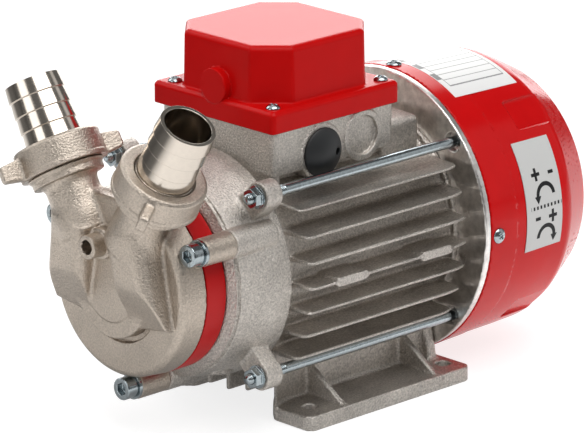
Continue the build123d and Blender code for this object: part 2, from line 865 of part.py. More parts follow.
def rotor_shaft():
    shaft = turned([
        (shaft_front_x, 0),
        (shaft_front_x, nut_thread_radius),
        (impeller_front_x, nut_thread_radius),
        (impeller_front_x, impeller_seat_radius),
        (impeller_rear_x, impeller_seat_radius),
        (impeller_rear_x, shaft_radius),
        (fan_rear_x, shaft_radius),
        (fan_rear_x, shaft_radius - 0.6),
        (fan_rear_x + circlip_thickness, shaft_radius - 0.6),
        (fan_rear_x + circlip_thickness, shaft_radius),
        (shaft_rear_x, shaft_radius),
        (shaft_rear_x, 0),
    ])
    return shaft - key_block(seat_gap)


def key_block(grow):
    """Key between impeller and shaft; grow opens it into its slot."""
    half = key_width / 2 + grow
    low = shaft_height + impeller_seat_radius - key_height / 2 - grow
    high = shaft_height + impeller_seat_radius + key_height / 2 + grow
    return block(impeller_front_x + 1 - grow, impeller_rear_x - 1 + grow, -half, half, low, high)


def impeller():
    hub = on_shaft(impeller_hub_radius, impeller_front_x, impeller_rear_x)
    middle = (impeller_front_x + impeller_rear_x) / 2
    web = on_shaft(impeller_radius * 0.8, middle - impeller_web / 2, middle + impeller_web / 2)
    vanes = []
    for index in range(impeller_vanes):
        vane = block(impeller_front_x, impeller_rear_x,
                     -impeller_vane_thickness / 2, impeller_vane_thickness / 2,
                     shaft_height + impeller_hub_radius - 1, shaft_height + impeller_radius)
        vanes.append(vane.rotate(shaft_axis, 360.0 * index / impeller_vanes))
    bore = on_shaft(impeller_seat_radius + seat_gap, impeller_front_x, impeller_rear_x)
    return (hub + [web] + vanes) - bore - key_block(seat_gap)


def impeller_nut():
    body = hexagon_x(shaft_nut_across_flats, impeller_front_x - shaft_nut_height,
                     impeller_front_x, 0, shaft_height)
    return body - on_shaft(nut_thread_radius + seat_gap, shaft_front_x, impeller_front_x)


def bearing(x0):
    """Outer ring with its seals, and inner ring."""
    x1 = x0 + bearing_width
    gap = running_gap / 2
    outer = on_shaft(bearing_radius, x0, x1) - on_shaft(bearing_inner_radius + gap, x0, x1)
    inner = on_shaft(bearing_inner_radius - gap, x0, x1) - on_shaft(shaft_radius + seat_gap, x0, x1)
    return outer, inner


def ring(outer_radius, inner_radius, x0, x1):
    return on_shaft(outer_radius, x0, x1) - on_shaft(inner_radius, x0, x1)


def armature_core():
    core = ring(armature_radius, shaft_radius + seat_gap, armature_front_x, armature_rear_x)
    slots = []
    for index in range(armature_slots):
        slot = block(armature_front_x, armature_rear_x, -slot_width / 2, slot_width / 2,
                     shaft_height + armature_radius - slot_depth, shaft_height + armature_radius + 1)
        slots.append(slot.rotate(shaft_axis, 360.0 * index / armature_slots))
    return core - slots


def armature_winding():
    """End turns at both ends of the armature, rounded at their outer edge."""
    ends = []
    for x0, x1 in ((armature_front_x - winding_overhang, armature_front_x - seat_gap),
                   (armature_rear_x + seat_gap, armature_rear_x + winding_overhang)):
        ends.append(ring(winding_outer_radius, winding_inner_radius, x0, x1))
    lining = ring(winding_inner_radius, shaft_radius + seat_gap,
                  armature_front_x - winding_overhang, armature_front_x - seat_gap)
    rear_lining = ring(winding_inner_radius, shaft_radius + seat_gap,
                       armature_rear_x + seat_gap, armature_rear_x + winding_overhang)
    return group([ends[0] + lining, ends[1] + rear_lining])


def commutator():
    return ring(commutator_radius, shaft_radius + seat_gap, commutator_front_x, commutator_rear_x)


def stator_magnets():
    outer = motor_bore_radius - seat_gap
    inner = armature_radius + magnet_gap
    x0 = armature_front_x - magnet_overhang
    x1 = armature_rear_x + magnet_overhang
    points = [(x0, inner), (x1, inner), (x1, outer), (x0, outer)]
    return group(turned(points, arc=magnet_arc, start=turn - magnet_arc / 2) for turn in (0.0, 180.0))


brush_x0 = (commutator_front_x + commutator_rear_x - brush_thickness) / 2
brush_x1 = brush_x0 + brush_thickness
brush_plate_x = housing_rear_x - shield_spigot - brush_plate_thickness
brush_tip = commutator_radius + running_gap
brush_tail = brush_tip + brush_length


def brush_holder():
    plate = ring(motor_bore_radius - 1, commutator_radius + 2, brush_plate_x,
                 housing_rear_x - shield_spigot - seat_gap)
    guides = []
    bores = []
    for side in (-1, 1):
        low = commutator_radius + 2
        high = low + brush_guide_reach
        wall = brush_guide_wall
        half = brush_width / 2 + face_gap
        y0, y1 = sorted((side * low, side * high))
        guides.append(block(brush_x0 - face_gap - wall, brush_plate_x + 1, y0, y1,
                            shaft_height - half - wall, shaft_height + half + wall))
        b0, b1 = sorted((side * (low - 1), side * (high - wall)))
        bores.append(block(brush_x0 - face_gap, brush_x1 + face_gap, b0, b1,
                           shaft_height - half, shaft_height + half))
    return (plate + guides) - bores


def brushes():
    solids = []
    for side in (-1, 1):
        y0, y1 = sorted((side * brush_tip, side * brush_tail))
        solid = block(brush_x0, brush_x1, y0, y1,
                      shaft_height - brush_width / 2, shaft_height + brush_width / 2)
        solids.append(solid - on_shaft(brush_tip + brush_width / 8, brush_x0, brush_x1))
    return group(solids)


def brush_springs():
    """A bowed leaf between each brush and the closed end of its guide."""
    solids = []
    room = commutator_radius + 2 + brush_guide_reach - brush_guide_wall - brush_tail
    outer = room / 2 - face_gap
    for side in (-1, 1):
        y = side * (brush_tail + room / 2)
        x = (brush_x0 + brush_x1) / 2
        low = shaft_height - brush_width / 3
        high = shaft_height + brush_width / 3
        loop = rod(outer, (x, y, low), (x, y, high))
        hole = rod(outer - brush_spring_thickness, (x, y, low), (x, y, high))
        solids.append(loop - hole)
    return group(solids)


def fan():
    hub = on_shaft(fan_hub_radius, fan_front_x, fan_rear_x)
    disc = on_shaft(fan_disc_radius, fan_front_x, fan_front_x + fan_disc_thickness)
    blades = []
    for index in range(fan_blades):
        blade = block(fan_front_x, fan_rear_x, -fan_blade_thickness / 2, fan_blade_thickness / 2,
                      shaft_height + fan_hub_radius - 1, shaft_height + fan_radius)
        corner = blade.edges().filter_by(Axis.Y).group_by(Axis.X)[-1].sort_by(Axis.Z)[-1]
        blade = chamfer(corner, fan_length * 0.45)
        blades.append(blade.rotate(shaft_axis, 360.0 * index / fan_blades))
    return (hub + [disc] + blades) - on_shaft(shaft_radius + seat_gap, fan_front_x, fan_rear_x)


def circlip():
    """Open retaining ring behind the fan hub."""
    x0 = fan_rear_x + seat_gap
    x1 = fan_rear_x + circlip_thickness - seat_gap
    inner = shaft_radius - 0.6 + seat_gap
    gap = block(x0, x1, -2, 2, shaft_height, shaft_height + 2 * circlip_radius)
    return ring(circlip_radius, inner, x0, x1) - gap


# Pump head: cover with ports, spacer ring, gaskets and bolts

def port_direction(side):
    return Vector(0, side * sin(radians(port_tilt)), cos(radians(port_tilt)))


def along_port(side, distance):
    point = Vector(port_x, 0, shaft_height) + port_direction(side) * distance
    return (point.X, point.Y, point.Z)


def port_turned(side, points):
    """Solid turned about a port, from (radius, distance from the shaft) points."""
    plane = Plane(origin=(port_x, 0, shaft_height), x_dir=(1, 0, 0), z_dir=port_direction(side))
    outline = make_face(Polyline(*[(r, 0, s) for r, s in points], close=True))
    return plane * revolve(outline, axis=Axis.Z)


def cover_leg(side):
    """Hump over the passage from a port to the chamber, with a steep face at its foot."""
    top = (port_x, side * leg_top_y, shaft_height + leg_top_z)
    bottom = (leg_x, side * leg_foot_y, shaft_height + leg_foot_z)
    hump = rod(leg_radius, top, bottom) + Pos(*top) * Sphere(leg_radius)
    cut_plane = Plane(
        origin=(leg_x - leg_radius, 0, shaft_height + leg_cut_front_z),
        x_dir=(0, 1, 0),
        z_dir=(-sin(radians(leg_cut_angle)), 0, -cos(radians(leg_cut_angle))))
    size = 8 * leg_radius
    cutter = cut_plane * Box(size, size, size, align=(Align.CENTER, Align.CENTER, Align.MIN))
    return hump - cutter


def pump_cover():
    profile = [
        (joint_x, 0),
        (joint_x, cover_rear_radius),
        (rim_x + cover_edge_radius, cover_rim_radius),
        (rim_x + cover_edge_radius * 0.29, cover_rim_radius - cover_edge_radius * 0.29),
        (rim_x, cover_rim_radius - cover_edge_radius),
        (rim_x, cover_disc_radius + cover_groove_width),
        (rim_x + cover_groove_depth, cover_disc_radius + cover_groove_width),
        (rim_x + cover_groove_depth, cover_disc_radius),
        (disc_x + 1, cover_disc_radius),
        (disc_x, cover_disc_radius - 1),
        (disc_x, 0),
    ]
    body = turned(profile)
    additions = []
    for side in (-1, 1):
        additions.append(cover_leg(side))
        additions.append(port_turned(side, [
            (0, port_foot),
            (port_tube_radius, port_foot),
            (port_tube_radius, port_collar_start),
            (port_thread_radius, port_collar_end),
            (port_thread_radius, port_face),
            (0, port_face),
        ]))
    additions.append(block(web_front_x, rim_x + 1, -leg_top_y + 3, leg_top_y - 3,
                           shaft_height + web_low_z, shaft_height + web_high_z))
    additions.append(on_shaft(vent_collar_radius, vent_collar_x, rim_x, z=vent_boss_z))
    additions.append(on_shaft(vent_boss_radius, vent_boss_x, rim_x, z=vent_boss_z))
    for y, z in head_bolt_points:
        additions.append(on_shaft(head_boss_radius, joint_x - head_boss_front,
                                  housing_front_x - seat_gap, y, z))
    body = body + additions
    keep_out = on_shaft(spacer_radius + seat_gap, joint_x, housing_front_x)
    cuts = [
        keep_out,
        on_shaft(shaft_nut_pocket_radius, shaft_front_x - 1.5, joint_x),
        on_shaft(vent_hole_radius, vent_boss_x, vent_boss_x + vent_hole_depth, z=vent_boss_z),
    ]
    for side in (-1, 1):
        cuts.append(rod(port_bore_radius, along_port(side, port_foot + 2), along_port(side, port_face)))
        elbow = along_port(side, port_foot + 6)
        cuts.append(rod(port_bore_radius * 0.8, elbow, (joint_x, elbow[1], elbow[2] - 6)))
    for y, z in head_bolt_points:
        cuts.append(on_shaft(head_bolt_radius + hole_gap, joint_x - head_boss_front,
                             housing_front_x, y, z))
    return body - cuts


def spacer_ring():
    return ring(spacer_radius, chamber_radius, joint_x + chamber_gasket, housing_front_x - chamber_gasket)


def chamber_gaskets():
    return group([
        ring(spacer_radius - 0.2, chamber_radius + 0.5, joint_x, joint_x + chamber_gasket),
        ring(spacer_radius - 0.2, chamber_radius + 0.5, housing_front_x - chamber_gasket, housing_front_x),
    ])


def head_bolts():
    seat = joint_x - head_boss_front - head_washer
    bolts = []
    for y, z in head_bolt_points:
        head = on_shaft(head_bolt_head_radius, seat - head_bolt_head, seat, y, z)
        socket = hexagon_x(2 * head_bolt_socket_radius, seat - head_bolt_head,
                           seat - head_bolt_head / 2, y, shaft_height + z)
        shank = on_shaft(head_bolt_radius, seat, seat + head_bolt_length, y, z)
        bolts.append(head - socket + shank)
    return group(bolts)


def head_washers():
    seat = joint_x - head_boss_front
    return group(
        on_shaft(head_washer_radius, seat - head_washer, seat, y, z)
        - on_shaft(head_bolt_radius + hole_gap, seat - head_washer, seat, y, z)
        for y, z in head_bolt_points)


# Unions: gasket, barbed hose tail and wing nut on each port

gasket_top = port_face + union_gasket
flange_low = gasket_top + face_gap
flange_high = flange_low + tail_flange
nut_inside = flange_high + face_gap
nut_top = nut_inside + nut_flange
barb_start = tail_length - barb_count * barb_pitch


def union_gasket_ring(side):
    return port_turned(side, [
        (tail_bore_radius, port_face), (tail_flange_radius, port_face),
        (tail_flange_radius, gasket_top), (tail_bore_radius, gasket_top)])


def hose_tail(side):
    """Flanged tube with a saw-tooth row of barbs that slope towards the tip."""
    points = [
        (tail_bore_radius, flange_low),
        (tail_flange_radius, flange_low),
        (tail_flange_radius, flange_high),
        (tail_neck_radius, flange_high),
        (tail_neck_radius, barb_start),
    ]
    for index in range(barb_count):
        base = barb_start + index * barb_pitch
        points.append((barb_crest_radius, base))
        points.append((barb_root_radius, base + barb_pitch))
    points.append((tail_bore_radius, tail_length))
    return port_turned(side, points)


def wing_nut(side, turn):
    """Union nut with two opposite wings; turn is the wings' angle about the port."""
    body = port_turned(side, [
        (port_thread_radius + running_gap, nut_bottom),
        (nut_radius, nut_bottom),
        (nut_radius, nut_top - nut_chamfer),
        (nut_radius - nut_chamfer, nut_top),
        (nut_hole_radius, nut_top),
        (nut_hole_radius, nut_inside),
        (port_thread_radius + running_gap, nut_inside),
    ])
    plane = Plane(origin=along_port(side, 0), x_dir=(1, 0, 0), z_dir=port_direction(side))
    middle = nut_bottom + wing_middle_rise
    reach = nut_radius + wing_reach
    inner = nut_radius - 1
    side_view = Polyline(
        (inner, -wing_thickness / 2, middle - wing_root_height / 2),
        (reach, -wing_thickness / 2, middle - wing_tip_height / 2),
        (reach, -wing_thickness / 2, middle + wing_tip_height / 2),
        (inner, -wing_thickness / 2, middle + wing_root_height / 2),
        close=True)
    wing = extrude(make_face(side_view), wing_thickness, dir=(0, 1, 0))
    wing = fillet(wing.edges().filter_by(Axis.Y).group_by(Axis.X)[-1], wing_thickness * 0.6)
    wings = [plane * (Rot(0, 0, turn + half_turn) * wing) for half_turn in (0.0, 180.0)]
    return body + wings


def build_all():
    export("motor_housing", motor_housing())
    export("rear_shield", rear_shield())
    export("tie_rods", tie_rods())
    export("tie_rod_nuts", tie_rod_nuts())
    export("terminal_lid", terminal_lid())
    export("lid_gasket", lid_gasket())
    export("lid_screws", lid_screws())
    strip, strip_screws = terminal_block()
    export("terminal_block", strip)
    export("terminal_screws", strip_screws)
    export("cable_grommet", cable_grommet())
    export("fan_cover", fan_cover())
    export("fan_cover_screws", fan_cover_screws())
    export("rotor_shaft", rotor_shaft())
    export("armature_core", armature_core())
    export("armature_winding", armature_winding())
    export("commutator", commutator())
    export("stator_magnets", stator_magnets())
    export("brush_holder", brush_holder())
    export("brushes", brushes())
    export("brush_springs", brush_springs())
    for name, x in (("front_bearing", bearing_front_x), ("rear_bearing", rear_bearing_x)):
        outer, inner = bearing(x)
        export(name + "_outer", outer)
        export(name + "_inner", inner)
    export("bearing_washer", ring(bearing_radius - 1, bearing_radius - 4,
                                  rear_bearing_end_x + seat_gap, shield_seat_x - seat_gap))
    export("shaft_seal", ring(seal_radius, shaft_radius + running_gap,
                              housing_front_x + 1, housing_front_x + 1 + seal_length))
    flinger_x = (housing_front_x + pump_wall + collar_front_x) / 2
    export("flinger", ring(flinger_radius, shaft_radius + seat_gap,
                           flinger_x, flinger_x + flinger_thickness))
    export("fan", fan())
    export("fan_circlip", circlip())
    export("impeller", impeller())
    export("impeller_key", key_block(0.0))
    export("impeller_nut", impeller_nut())
    export("pump_cover", pump_cover())
    export("spacer_ring", spacer_ring())
    export("chamber_gaskets", chamber_gaskets())
    export("cover_bolts", head_bolts())
    export("cover_washers", head_washers())
    for name, side, turn in (("near", -1, near_wing_turn), ("far", 1, far_wing_turn)):
        export(name + "_union_gasket", union_gasket_ring(side))
        export(name + "_hose_tail", hose_tail(side))
        export(name + "_wing_nut", wing_nut(side, turn))


build_all()
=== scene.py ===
"""Looks of an electric transfer pump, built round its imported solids.

Shapes are worked out in millimetres: X runs from the pump head to the fan cover, Y to the far side, Z up.
Castings and mouldings are distance fields made into meshes, round pieces are turned, and each kind of
fastener is one shell set at every place.
"""

import json
import math

import bpy
import numpy as np
from mathutils import Matrix, Vector


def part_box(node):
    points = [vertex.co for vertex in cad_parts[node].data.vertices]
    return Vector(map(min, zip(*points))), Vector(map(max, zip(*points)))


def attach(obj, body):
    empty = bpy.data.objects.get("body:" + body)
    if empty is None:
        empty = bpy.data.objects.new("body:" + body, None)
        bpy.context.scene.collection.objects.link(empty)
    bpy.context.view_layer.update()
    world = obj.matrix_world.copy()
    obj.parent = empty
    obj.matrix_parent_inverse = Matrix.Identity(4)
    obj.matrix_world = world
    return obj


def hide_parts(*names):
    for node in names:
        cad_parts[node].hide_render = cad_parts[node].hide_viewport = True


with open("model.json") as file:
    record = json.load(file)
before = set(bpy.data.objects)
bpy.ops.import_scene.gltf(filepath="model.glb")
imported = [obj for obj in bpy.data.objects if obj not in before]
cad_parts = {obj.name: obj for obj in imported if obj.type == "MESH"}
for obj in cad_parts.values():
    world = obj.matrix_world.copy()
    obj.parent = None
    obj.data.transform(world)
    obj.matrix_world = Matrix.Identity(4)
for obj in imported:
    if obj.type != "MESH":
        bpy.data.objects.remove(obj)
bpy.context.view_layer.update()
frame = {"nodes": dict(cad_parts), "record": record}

MM = 0.001
NODES = frame["nodes"]
RECORD = frame["record"]
JOINTS = {joint["name"]: joint for joint in RECORD["behaviour"]["joints"]}


def node_box(name):
    """Lowest and highest corner of a node in millimetres."""
    low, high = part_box(name)
    return np.array(low) / MM, np.array(high) / MM


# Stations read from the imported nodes, in millimetres
HOUSING_LOW, _ = node_box("motor_housing")
LID_LOW, LID_HIGH = node_box("terminal_lid")
SPACER_LOW, _ = node_box("spacer_ring")
FAN_COVER_LOW, FAN_COVER_HIGH = node_box("fan_cover")
SHAFT_Z = JOINTS["shaft_spin"]["pos_m"][2] / MM
PORT_X = JOINTS["near_nut_turn"]["pos_m"][0] / MM


# Shader maths: a socket that can be used in expressions

def calculated(tree, operation, *items):
    """Math node fed with values and numbers in their order."""
    node = tree.nodes.new("ShaderNodeMath")
    node.operation = operation
    for socket, item in zip(node.inputs, items):
        wire(tree, item, socket)
    return Value(tree, node.outputs[0])


class Value:
    """A shader socket; arithmetic on it adds Math nodes to its tree."""

    def __init__(self, tree, socket):
        self.tree = tree
        self.socket = socket

    def math(self, operation, *others):
        return calculated(self.tree, operation, self, *others)

    def __add__(self, other):
        return self.math("ADD", other)

    __radd__ = __add__

    def __sub__(self, other):
        return self.math("SUBTRACT", other)

    def __rsub__(self, other):
        return calculated(self.tree, "SUBTRACT", other, self)

    def __mul__(self, other):
        return self.math("MULTIPLY", other)

    __rmul__ = __mul__

    def __truediv__(self, other):
        return self.math("DIVIDE", other)

    def spread(self, low, high, out_low=0.0, out_high=1.0):
        """Maps low..high to out_low..out_high, clamped."""
        node = self.tree.nodes.new("ShaderNodeMapRange")
        node.clamp = True
        wire(self.tree, self, node.inputs["Value"])
        for name, number in zip(("From Min", "From Max", "To Min", "To Max"),
                                (low, high, out_low, out_high)):
            wire(self.tree, number, node.inputs[name])
        return Value(self.tree, node.outputs["Result"])


def wire(tree, item, socket):
    """Links a Value to a socket, or sets the socket to a plain number or tuple."""
    if isinstance(item, Value):
        tree.links.new(item.socket, socket)
    else:
        socket.default_value = item


class Material:
    """A node material with one principled shader."""

    def __init__(self, name, **sockets):
        self.name = name
        self.data = bpy.data.materials.new(name)
        self.data.use_nodes = True
        self.tree = self.data.node_tree
        self.shader = self.tree.nodes["Principled BSDF"]
        self.place = self.node("ShaderNodeTexCoord", out="Object")
        self.set(**sockets)

    def set(self, **sockets):
        """Sets or links sockets of the shader, named in small letters with underscores."""
        for name, item in sockets.items():
            wire(self.tree, item, self.shader.inputs[name.replace("_", " ").title().replace("Ior", "IOR")])

    def node(self, kind, settings=None, out=0, **inputs):
        """Adds any node: its settings first, then the values or links of its sockets.

        A socket is given by its name, or by its number as in i6.
        """
        node = self.tree.nodes.new(kind)
        for name, item in (settings or {}).items():
            setattr(node, name, item)
        for name, item in inputs.items():
            wire(self.tree, item, node.inputs[int(name[1:]) if name[1:].isdigit() else name])
        return Value(self.tree, node.outputs[out])

    def noise(self, scale, detail=2.0, rough=0.5):
        return self.node("ShaderNodeTexNoise", Vector=self.place, Scale=scale, Detail=detail, Roughness=rough)

    def mix(self, factor, first, second):
        """Colour mix: first at factor 0, second at 1."""
        return self.node("ShaderNodeMix", {"data_type": "RGBA"}, out=2,
                         i0=factor, i6=rgba(first), i7=rgba(second))

    def axis(self, which):
        """One coordinate of the object position, in metres."""
        return self.node("ShaderNodeSeparateXYZ", out="XYZ".index(which), i0=self.place)

    def bump(self, height, distance):
        return self.node("ShaderNodeBump", Height=height, Distance=distance, Strength=1.0)


def rgba(colour):
    """Colour socket as it is, or a plain colour with its alpha."""
    return colour if isinstance(colour, Value) else (*colour, 1.0)


# Distance fields: a field takes (n, 3) points in millimetres and gives n distances, negative inside

def joined(first, second, radius):
    """Union of two distances with a fillet: the smaller one, less close^2 radius/4 where they come close."""
    close = np.maximum(radius - np.abs(first - second), 0.0) / radius
    return np.minimum(first, second) - close * close * radius / 4


def carved(body, tool, radius):
    """Body with the tool taken away, its new edge rounded by radius."""
    return -joined(-body, tool, radius)


def between(values, low, high):
    """Distance to a slab: outside the range it is positive."""
    return np.abs(values - (low + high) / 2) - (high - low) / 2


def sloped(first, second, rise, run):
    """Distance to a straight flank through (0, 0) with the normal (rise, run), from two coordinates."""
    return (first * rise + second * run) / math.hypot(rise, run)


def convex(sides, edge):
    """Crossing sides as one solid with rounded edges: length of the outer parts plus the inner maximum."""
    sides = [side + edge for side in sides]
    outer = np.sqrt(sum(np.maximum(side, 0.0) ** 2 for side in sides))
    inner = np.minimum(np.maximum.reduce(sides), 0.0)
    return outer + inner - edge


def along(p, start, direction):
    """Distance run from start along a line, and distance from that line."""
    offset = p - np.asarray(start, float)
    run = offset @ np.asarray(direction, float)
    return run, np.sqrt(np.maximum((offset ** 2).sum(axis=1) - run ** 2, 0.0))


def on_shaft(p, radius, x0, x1, y, h, edge):
    """Cylinder along X at a place Y and a height over the shaft."""
    off = np.hypot(p[:, 1] - y, p[:, 2] - SHAFT_Z - h)
    return convex([off - radius, between(p[:, 0], x0, x1)], edge)


def measured(field, points, chunk=200000):
    """Values of a field, read in chunks to spare memory."""
    return np.concatenate([field(points[i:i + chunk]) for i in range(0, len(points), chunk)])


def slopes(field, points, reach):
    """Gradient by central differences."""
    result = np.empty_like(points)
    for axis in range(3):
        shift = np.zeros(3)
        shift[axis] = reach
        result[:, axis] = (measured(field, points + shift) - measured(field, points - shift)) / (2 * reach)
    return result


def surface(field, low, high, step):
    """Surface of a field by surface nets.

    The field is read on a grid, but only near the surface, which a grid four times coarser finds. Every cell
    with both signs gets a vertex at the mean of the crossings on its edges, and every crossed grid edge gives
    a quad between its four cells. Newton steps along the gradient then bring the vertices onto the surface,
    and the gradient gives the normals.
    """
    step = np.asarray(step, float) * 1.0
    low = np.asarray(low, float) - step
    block = 4
    blocks = np.ceil((np.asarray(high, float) + step - low) / (step * block)).astype(int)
    centres = low + (np.indices(blocks).reshape(3, -1).T + 0.5) * step * block
    far = measured(field, centres).reshape(blocks)
    near = np.abs(far) < 0.6 * np.linalg.norm(step * block)

    def spread_out(array):
        for axis in range(3):
            array = np.repeat(array, block, axis=axis)
        return array

    wanted = np.zeros(blocks * block + 1, bool)
    big = spread_out(near)
    ends = (slice(None, -1), slice(1, None))
    for i in range(8):
        wanted[ends[i & 1], ends[i >> 1 & 1], ends[i >> 2 & 1]] |= big
    grid = np.pad(spread_out(np.where(far > 0, 1.0, -1.0)), ((0, 1),) * 3, mode="edge")
    grid[wanted] = measured(field, low + np.argwhere(wanted) * step)

    cell_shape = np.array(grid.shape) - 1
    strides = np.array([cell_shape[1] * cell_shape[2], cell_shape[2], 1])
    cells, crossings = [], []
    for axis in range(3):
        first = grid[tuple(slice(None, -1) if a == axis else slice(None) for a in range(3))]
        second = grid[tuple(slice(1, None) if a == axis else slice(None) for a in range(3))]
        place = np.argwhere((first < 0) != (second < 0))
        a, b = first[tuple(place.T)], second[tuple(place.T)]
        point = place.astype(float)
        point[:, axis] += a / (a - b)
        corner = place @ strides
        b_step, c_step = strides[(axis + 1) % 3], strides[(axis + 2) % 3]
        quad = np.stack([corner - b_step - c_step, corner - c_step, corner, corner - b_step], axis=1)
        quad[a >= 0] = quad[a >= 0][:, ::-1]
        cells.append(quad)
        crossings.append(point)
    cells, crossings = np.concatenate(cells), np.concatenate(crossings)
    _, quads = np.unique(cells, return_inverse=True)
    quads = quads.reshape(-1, 4)
    count = np.bincount(quads.ravel())
    points = np.stack([
        np.bincount(quads.ravel(), weights=np.repeat(crossings[:, a], 4)) / count for a in range(3)], axis=1)
    points = low + points * step
    limit = 0.6 * step.min()
    for _ in range(3):
        slope = slopes(field, points, 0.02)
        away = measured(field, points)
        move = slope * (away / np.maximum((slope ** 2).sum(axis=1), 0.2))[:, None]
        size = np.linalg.norm(move, axis=1, keepdims=True)
        points -= move * np.minimum(1.0, limit / np.maximum(size, 1e-9))
    normals = slopes(field, points, 0.12)
    normals /= np.maximum(np.linalg.norm(normals, axis=1, keepdims=True), 1e-9)
    return points, normals, quads


# Turned and drawn shells: arrays of points, normals and quads

def softened(outline, radius, steps=4):
    """Closed outline with rounded corners, and the outward normal at each point.

    Every corner becomes a parabola's arc, (1-t)^2 start + 2t(1-t) corner + t^2 end, that touches both sides.
    """
    outline = np.asarray(outline, float)
    after = np.roll(outline, -1, axis=0)
    if (outline[:, 0] * after[:, 1] - after[:, 0] * outline[:, 1]).sum() < 0:
        outline = outline[::-1]
    into, out = outline - np.roll(outline, 1, axis=0), np.roll(outline, -1, axis=0) - outline
    long_in, long_out = np.linalg.norm(into, axis=1), np.linalg.norm(out, axis=1)
    into, out = into / long_in[:, None], out / long_out[:, None]
    turn = np.arctan2(into[:, 0] * out[:, 1] - into[:, 1] * out[:, 0], (into * out).sum(axis=1))
    cut = np.minimum(radius * np.abs(np.tan(turn / 2)), 0.4 * np.minimum(long_in, long_out))
    share = np.linspace(0.0, 1.0, steps + 1)[None, :, None]
    start, end = outline - into * cut[:, None], outline + out * cut[:, None]
    curve = ((1 - share) ** 2 * start[:, None] + 2 * share * (1 - share) * outline[:, None]
             + share ** 2 * end[:, None])
    side_in = np.stack([into[:, 1], -into[:, 0]], axis=1)
    side_out = np.stack([out[:, 1], -out[:, 0]], axis=1)
    normal = (1 - share) * side_in[:, None] + share * side_out[:, None]
    normal = normal / np.linalg.norm(normal, axis=2, keepdims=True)
    return curve.reshape(-1, 2), normal.reshape(-1, 2)


def spokes(direction, segments):
    """Angles round a line, and the unit vectors square to it: cos(angle) first + sin(angle) second."""
    helper = np.array([1.0, 0, 0]) if abs(direction[0]) < 0.9 else np.array([0, 0, 1.0])
    first = helper - direction * (helper @ direction)
    first /= np.linalg.norm(first)
    angle = np.arange(segments) * 2 * np.pi / segments
    return angle, np.cos(angle)[:, None] * first + np.sin(angle)[:, None] * np.cross(direction, first)


def round_quads(segments, rows, closed):
    """Quads of a grid that runs round a line; a closed grid also joins its last row to its first."""
    i, j = np.meshgrid(np.arange(segments), np.arange(rows if closed else rows - 1), indexing="ij")
    i2, j2 = (i + 1) % segments, (j + 1) % rows
    return np.stack([i * rows + j, i2 * rows + j, i2 * rows + j2, i * rows + j2], axis=-1).reshape(-1, 4)


def turned(outline, origin, direction, edge, segments):
    """Shell turned about a line from (run, radius) points: each goes to origin + run line + radius spoke."""
    curve, normal = softened(outline, edge)
    curve[:, 1] = np.maximum(curve[:, 1], 0.01)
    direction = np.asarray(direction, float)
    _, spoke = spokes(direction, segments)
    points = np.asarray(origin, float) + curve[None, :, :1] * direction + curve[None, :, 1:] * spoke[:, None]
    normals = normal[None, :, :1] * direction + normal[None, :, 1:] * spoke[:, None]
    quads = round_quads(segments, len(curve), True)[:, ::-1]
    return points.reshape(-1, 3), normals.reshape(-1, 3), quads


def threaded_rod(start, direction, length, radius, pitch, depth, threaded_to, edge=0.6, segments=48):
    """Rod with a thread at its start: the radius less a triangle wave of run/pitch minus the turn."""
    direction = np.asarray(direction, float)
    threads = np.linspace(0.0, threaded_to + pitch, int((threaded_to / pitch + 1) * 8))
    run = np.concatenate([threads, np.linspace(threaded_to + 2 * pitch, length, 6)])
    angle, spoke = spokes(direction, segments)
    wave = np.abs(((run[None] / pitch - angle[:, None] / (2 * np.pi)) % 1.0) - 0.5) * 2
    fade = np.clip((threaded_to - run) / pitch, 0.0, 1.0) * np.clip(run / (0.5 * pitch), 0.0, 1.0)
    radii = radius - depth * wave * fade[None] - np.clip(edge - run, 0, edge)[None] * 0.7
    runs = np.concatenate([[run[0]], run, [run[-1]]])
    pole = np.full((segments, 1), 0.01)
    radii = np.concatenate([pole, radii, pole], axis=1)
    points = np.asarray(start, float) + runs[None, :, None] * direction + radii[:, :, None] * spoke[:, None]
    slope = np.gradient(radii, axis=1) / np.maximum(np.gradient(runs)[None], 1e-3)
    slope[:, :2], slope[:, -2:] = 0.0, 0.0
    normals = spoke[:, None] - slope[:, :, None] * direction
    normals[:, 0], normals[:, -1] = -direction, direction
    normals[:, 1] = normals[:, 1] - direction
    normals /= np.linalg.norm(normals, axis=2, keepdims=True)
    return points.reshape(-1, 3), normals.reshape(-1, 3), round_quads(segments, len(runs), False)


# Measures of the object in millimetres, on the row's axes; h is height over the shaft, z over the floor
FIN_PITCH, FIN_DROP = 11.3, 2.3
FIN_FRONT, FIN_REAR = -56.3, 43.5
CORE, COLLAR, BORE, BEARING = 46.2, 51.1, 38.5, 16.02
COLLAR_REAR, COLLAR_FRONT, BELL_FRONT = -60.3, -68.0, -87.8
HOUSING_FRONT, HOUSING_REAR = float(HOUSING_LOW[0]), 45.9
JOINT = float(SPACER_LOW[0]) - 0.5
TIE_Y, TIE_H = 44.5, 40.7
LUG_FRONT, LUG_REAR = -74.4, -65.4
HEAD_BOLTS = [(-48.0 * math.cos(math.radians(turn)), 48.0 * math.sin(math.radians(turn)))
              for turn in (27.5, 152.5, 270)]
BOX_FRONT, BOX_REAR, BOX_HALF = -56.6, float(LID_HIGH[0]) - 1.5, 35.5
BOX_LOW, BOX_TOP = 112.7, 132.9
GROMMET, KNOCKOUT = (-27.3, 118.8), (-2.0, 121.3)
LID_FLANGE, LID_SCREW_IN, LID_SCREW_Y = float(LID_LOW[2]) + 8.7, 6.0, 31.0
RIM, DISC = -115.8, -120.4
VENT_H, HEAD_FRONT = 20.8, -133.6
PORT_TILT = math.radians(31.0)
PORT_ORIGIN = np.array([PORT_X, 0.0, SHAFT_Z])
SHIELD_FRONT, SHIELD_RIM, SHIELD_BACK = 45.9, 49.3, 57.9
COVER_FRONT, COVER_REAR = float(FAN_COVER_LOW[0]), float(FAN_COVER_HIGH[0])
